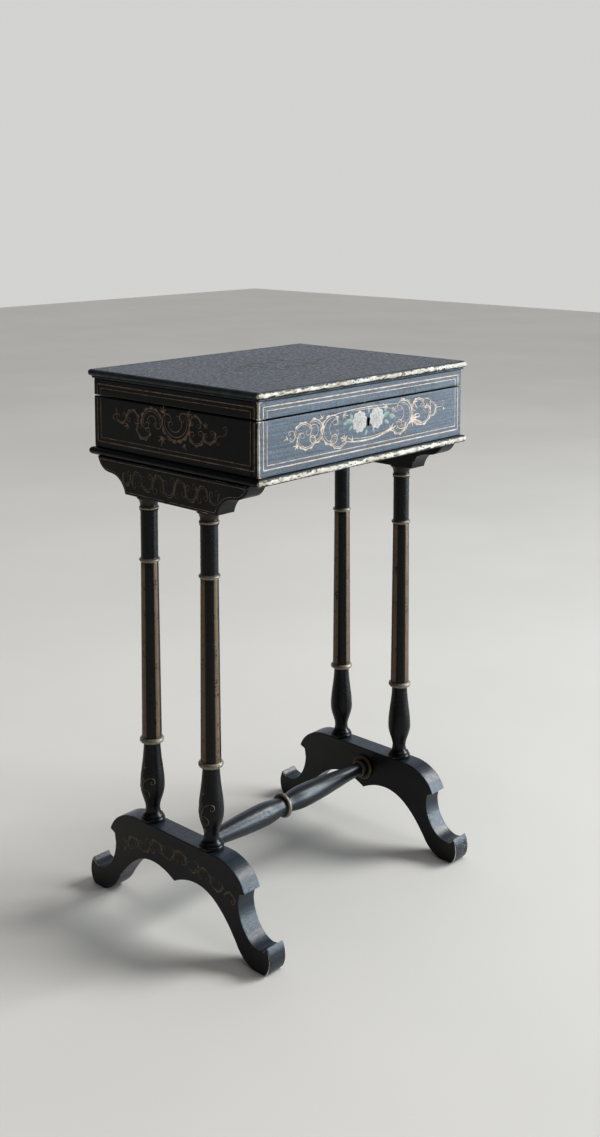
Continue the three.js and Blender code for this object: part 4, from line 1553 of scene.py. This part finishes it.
class TABLE_OT_gilt_lines(bpy.types.Operator):
    """Paints the double keylines of the box and lid, and the line inside each apron's edge"""

    bl_idname = "sewing_table.gilt_lines"
    bl_label = "Gilt lines"

    def execute(self, context):
        gap_low = box_mm("box_left")[1][2] - 1.0
        gap_high = box_mm("lid_rail_left")[0][2] + 1.0
        for plane, half, low, inner, finish in (
            ("front", 192, 625, 6.2, "window_lit_gilding"),
            ("left", 146, 624.5, 6.6, "dull_gilding"),
            ("right", 146, 624.5, 6.6, "dull_gilding"),
        ):
            box, lid = double_frame(half, low, 701, inner, gap_low, gap_high)
            new_piece(f"{plane}_box_lines", paint(box, plane), "stand", finish)
            new_piece(f"{plane}_lid_lines", paint(lid, plane), "lid", finish)
        outline = apron_outline(box_mm("apron_left")[1][2])
        for side, _ in SIDES:
            line = paint([keyline(outline, 3.4, 1.1)], f"apron_{side}")
            new_piece(f"apron_line_{side}", line, "stand", "dull_gilding")
        return {"FINISHED"}


class TABLE_OT_scrollwork(bpy.types.Operator):
    """Paints the scrollwork of the front, the sides, the aprons and the feet"""

    bl_idname = "sewing_table.scrollwork"
    bl_label = "Scrollwork"

    def execute(self, context):
        designs = [("front", front_scrollwork(), "window_lit_gilding")]
        for side, _ in SIDES:
            designs += [
                (side, side_scrollwork(), "dull_gilding"),
                (f"apron_{side}", apron_scrollwork(), "faded_gilding"),
                (f"foot_{side}", foot_scrollwork(), "faded_gilding"),
            ]
        for plane, strokes, finish in designs:
            new_piece(f"{plane}_scrollwork", paint(strokes, plane), "stand", finish)
        motif = paint(top_motif(), "top", 0.6 * MOTIF_DEPTH)
        new_piece("top_motif", motif, "lid", "worn_gilding")
        return {"FINISHED"}


def wrapped(surface, centre, facing, profile):
    """A surface painted on the front's plane, wrapped round a turned post.

    Its height above the plane is added to the profile's radius there. Its sideways place over that radius is
    the angle from facing, in radians.
    """
    x, y, z = surface.points.T / MM
    bulb = profile[(profile[:, 1] > 145) & (profile[:, 1] < 226)]
    radius = np.interp(z, bulb[:, 1], bulb[:, 0]) - FRONT_FACE - y
    angle = facing - x / radius
    points = np.stack([centre[0] + radius * np.cos(angle), centre[1] + radius * np.sin(angle), z], -1)
    return Surface(points * MM, [face[::-1] for face in surface.faces], surface.marks)


class TABLE_OT_bulb_motifs(bpy.types.Operator):
    """Paints a small scroll on the outer side of each column's bulb"""

    bl_idname = "sewing_table.bulb_motifs"
    bl_label = "Bulb scrolls"

    def execute(self, context):
        flat = paint(bulb_motif(), "front", 0.3)
        profile = column_profile()
        for side, way in SIDES:
            facing = math.pi if way < 0 else 0.0
            for end in ENDS:
                motif = wrapped(flat, centre_of(f"column_{end}_{side}"), facing, profile)
                new_piece(f"bulb_scroll_{end}_{side}", motif, "stand", "faded_gilding")
        return {"FINISHED"}


class TABLE_OT_roses(bpy.types.Operator):
    """Paints the two roses beside the keyhole and their leaves"""

    bl_idname = "sewing_table.roses"
    bl_label = "Roses"

    def execute(self, context):
        petals = rose((-17, 662), 15, 10) + rose((17, 663), 15, 40)
        new_piece("painted_roses", gather(petals), "stand", "rose_petals")
        leaves = [rose_leaf(*place) for place in ROSE_LEAVES]
        new_piece("painted_rose_leaves", gather(leaves), "stand", "painted_leaves")
        return {"FINISHED"}


# Where the camera stands, in metres, and how far it looks down and turns from the X axis, in degrees.
CAMERA_PLACE = (-1.3094, -1.2503, 0.9553)
CAMERA_DROP = 6.57
CAMERA_HEADING = 42.9
CAMERA_SHIFT = -0.1966


def add_area_light(name, place, aim, width, height, power, colour=(1, 1, 1)):
    """A soft rectangular light at a place, aimed at a point and not seen by the camera."""
    light = bpy.data.lights.new(name, "AREA")
    light.shape = "RECTANGLE"
    light.size = width
    light.size_y = height
    light.energy = power
    light.color = colour
    lamp = bpy.data.objects.new(name, light)
    bpy.context.scene.collection.objects.link(lamp)
    lamp.location = place
    direction = np.array(aim, float) - np.array(place, float)
    yaw = math.atan2(direction[1], direction[0]) - math.pi / 2
    pitch = math.atan2(direction[2], math.hypot(direction[0], direction[1])) + math.pi / 2
    lamp.rotation_euler = (pitch, 0, yaw)
    lamp.visible_camera = False


class TABLE_OT_stage(bpy.types.Operator):
    """Adds the floor, soft lights and the camera"""

    bl_idname = "sewing_table.stage"
    bl_label = "Stage"

    def execute(self, context):
        scene = context.scene
        self.add_floor(scene)
        self.add_world(scene)
        add_area_light("window", (2.75, -2.85, 0.9), (0, 0, 0.5), 2.4, 2.4, 170, (0.78, 0.9, 1.0))
        add_area_light("ceiling", (0.2, -0.2, 3.2), (0, 0, 0.4), 2.6, 2.6, 26)
        self.add_daylight(scene)
        self.add_camera(scene)
        scene.view_settings.view_transform = "Standard"
        scene.view_settings.look = "Medium High Contrast"
        return {"FINISHED"}

    def add_daylight(self, scene):
        """A broad, soft light from above."""
        sun = bpy.data.lights.new("daylight", "SUN")
        sun.energy = 1.9
        sun.angle = math.radians(24)
        lamp = bpy.data.objects.new("daylight", sun)
        scene.collection.objects.link(lamp)
        lamp.rotation_euler = (math.radians(52), 0, math.radians(62))

    def add_camera(self, scene):
        """The camera, in front of the table and to its left."""
        camera = bpy.data.cameras.new("camera")
        camera.lens = scene.table_stage.lens
        camera.shift_y = CAMERA_SHIFT
        viewer = bpy.data.objects.new("camera", camera)
        scene.collection.objects.link(viewer)
        viewer.location = CAMERA_PLACE
        viewer.rotation_euler = (math.radians(90 - CAMERA_DROP), 0, math.radians(CAMERA_HEADING - 90))
        scene.camera = viewer

    def add_floor(self, scene):
        """A flat grid of squares 16 m across, plain and pale."""
        material, tree, shader = new_material("floor")
        tone = tree.ramp(tree.noise(tree.place(), 1.4, 3.0), 0.3, 0.7)
        base = tuple(scene.table_stage.floor)
        light = tuple(min(1.0, c * 1.05) for c in base)
        tree.feed(shader.inputs["Base Color"], tree.mix(tone, solid_colour(base), solid_colour(light)))
        shader.inputs["Roughness"].default_value = 0.9
        line = np.linspace(-8, 8, 17)
        x, y = np.meshgrid(line, line)
        points = np.stack([x, y, np.full_like(x, -0.0002)], -1).reshape(-1, 3)
        index = np.arange(17 * 17).reshape(17, 17)
        quads = np.stack([index[:-1, :-1], index[:-1, 1:], index[1:, 1:], index[1:, :-1]], -1).reshape(-1, 4)
        mesh = bpy.data.meshes.new("floor")
        mesh.from_pydata(points.tolist(), [], quads.tolist())
        mesh.materials.append(material)
        floor = bpy.data.objects.new("floor", mesh)
        scene.collection.objects.link(floor)

    def add_world(self, scene):
        """Pale where the camera sees it; as light, dim all round but for a pale side behind the table."""
        world = bpy.data.worlds.new("studio")
        scene.world = world
        world.use_nodes = True
        world.node_tree.nodes.clear()
        tree = Tree(world.node_tree)
        seen = tree.add("ShaderNodeLightPath").outputs["Is Camera Ray"]
        way = tree.add("ShaderNodeTexCoord").outputs["Generated"]
        behind = tree.add("ShaderNodeVectorMath", {0: way, 1: (0.68, 0.73, 0.0)}, operation="DOT_PRODUCT")
        glow = tree.ramp(behind.outputs["Value"], 0.45, 0.9)
        light = tree.mix(glow, (0.08, 0.085, 0.095, 1), (0.62, 0.66, 0.72, 1))
        colour = tree.mix(seen, light, (0.56, 0.56, 0.55, 1))
        background = tree.add("ShaderNodeBackground", {"Color": colour})
        out = tree.add("ShaderNodeOutputWorld")
        world.node_tree.links.new(background.outputs[0], out.inputs[0])


PIECE_OPERATORS = (
    TABLE_OT_finishes, TABLE_OT_feet, TABLE_OT_aprons, TABLE_OT_columns, TABLE_OT_stretcher,
    TABLE_OT_mouldings, TABLE_OT_box, TABLE_OT_lid_rails, TABLE_OT_tray, TABLE_OT_fittings,
    TABLE_OT_gilt_lines, TABLE_OT_scrollwork, TABLE_OT_bulb_motifs, TABLE_OT_roses, TABLE_OT_stage,
)


class TABLE_PT_panel(bpy.types.Panel):
    """Lists the sizes, colours and steps"""

    bl_label = "Sewing Table"
    bl_idname = "TABLE_PT_panel"
    bl_space_type = "VIEW_3D"
    bl_region_type = "UI"
    bl_category = "Sewing Table"

    def draw(self, context):
        for group in (context.scene.table_sizes, context.scene.table_colours, context.scene.table_stage):
            for name in group.__annotations__:
                self.layout.prop(group, name)
        for operator in PIECE_OPERATORS:
            self.layout.operator(operator.bl_idname)


CLASSES = (TableSizes, TableColours, StageSettings, *PIECE_OPERATORS, TABLE_PT_panel)


def register():
    for item in CLASSES:
        bpy.utils.register_class(item)
    bpy.types.Scene.table_sizes = bpy.props.PointerProperty(type=TableSizes)
    bpy.types.Scene.table_colours = bpy.props.PointerProperty(type=TableColours)
    bpy.types.Scene.table_stage = bpy.props.PointerProperty(type=StageSettings)


def unregister():
    del bpy.types.Scene.table_stage
    del bpy.types.Scene.table_colours
    del bpy.types.Scene.table_sizes
    for item in reversed(CLASSES):
        bpy.utils.unregister_class(item)


def main():
    register()
    for operator in PIECE_OPERATORS:
        group, step = operator.bl_idname.split(".")
        getattr(getattr(bpy.ops, group), step)()


if __name__ == "__main__":
    main()
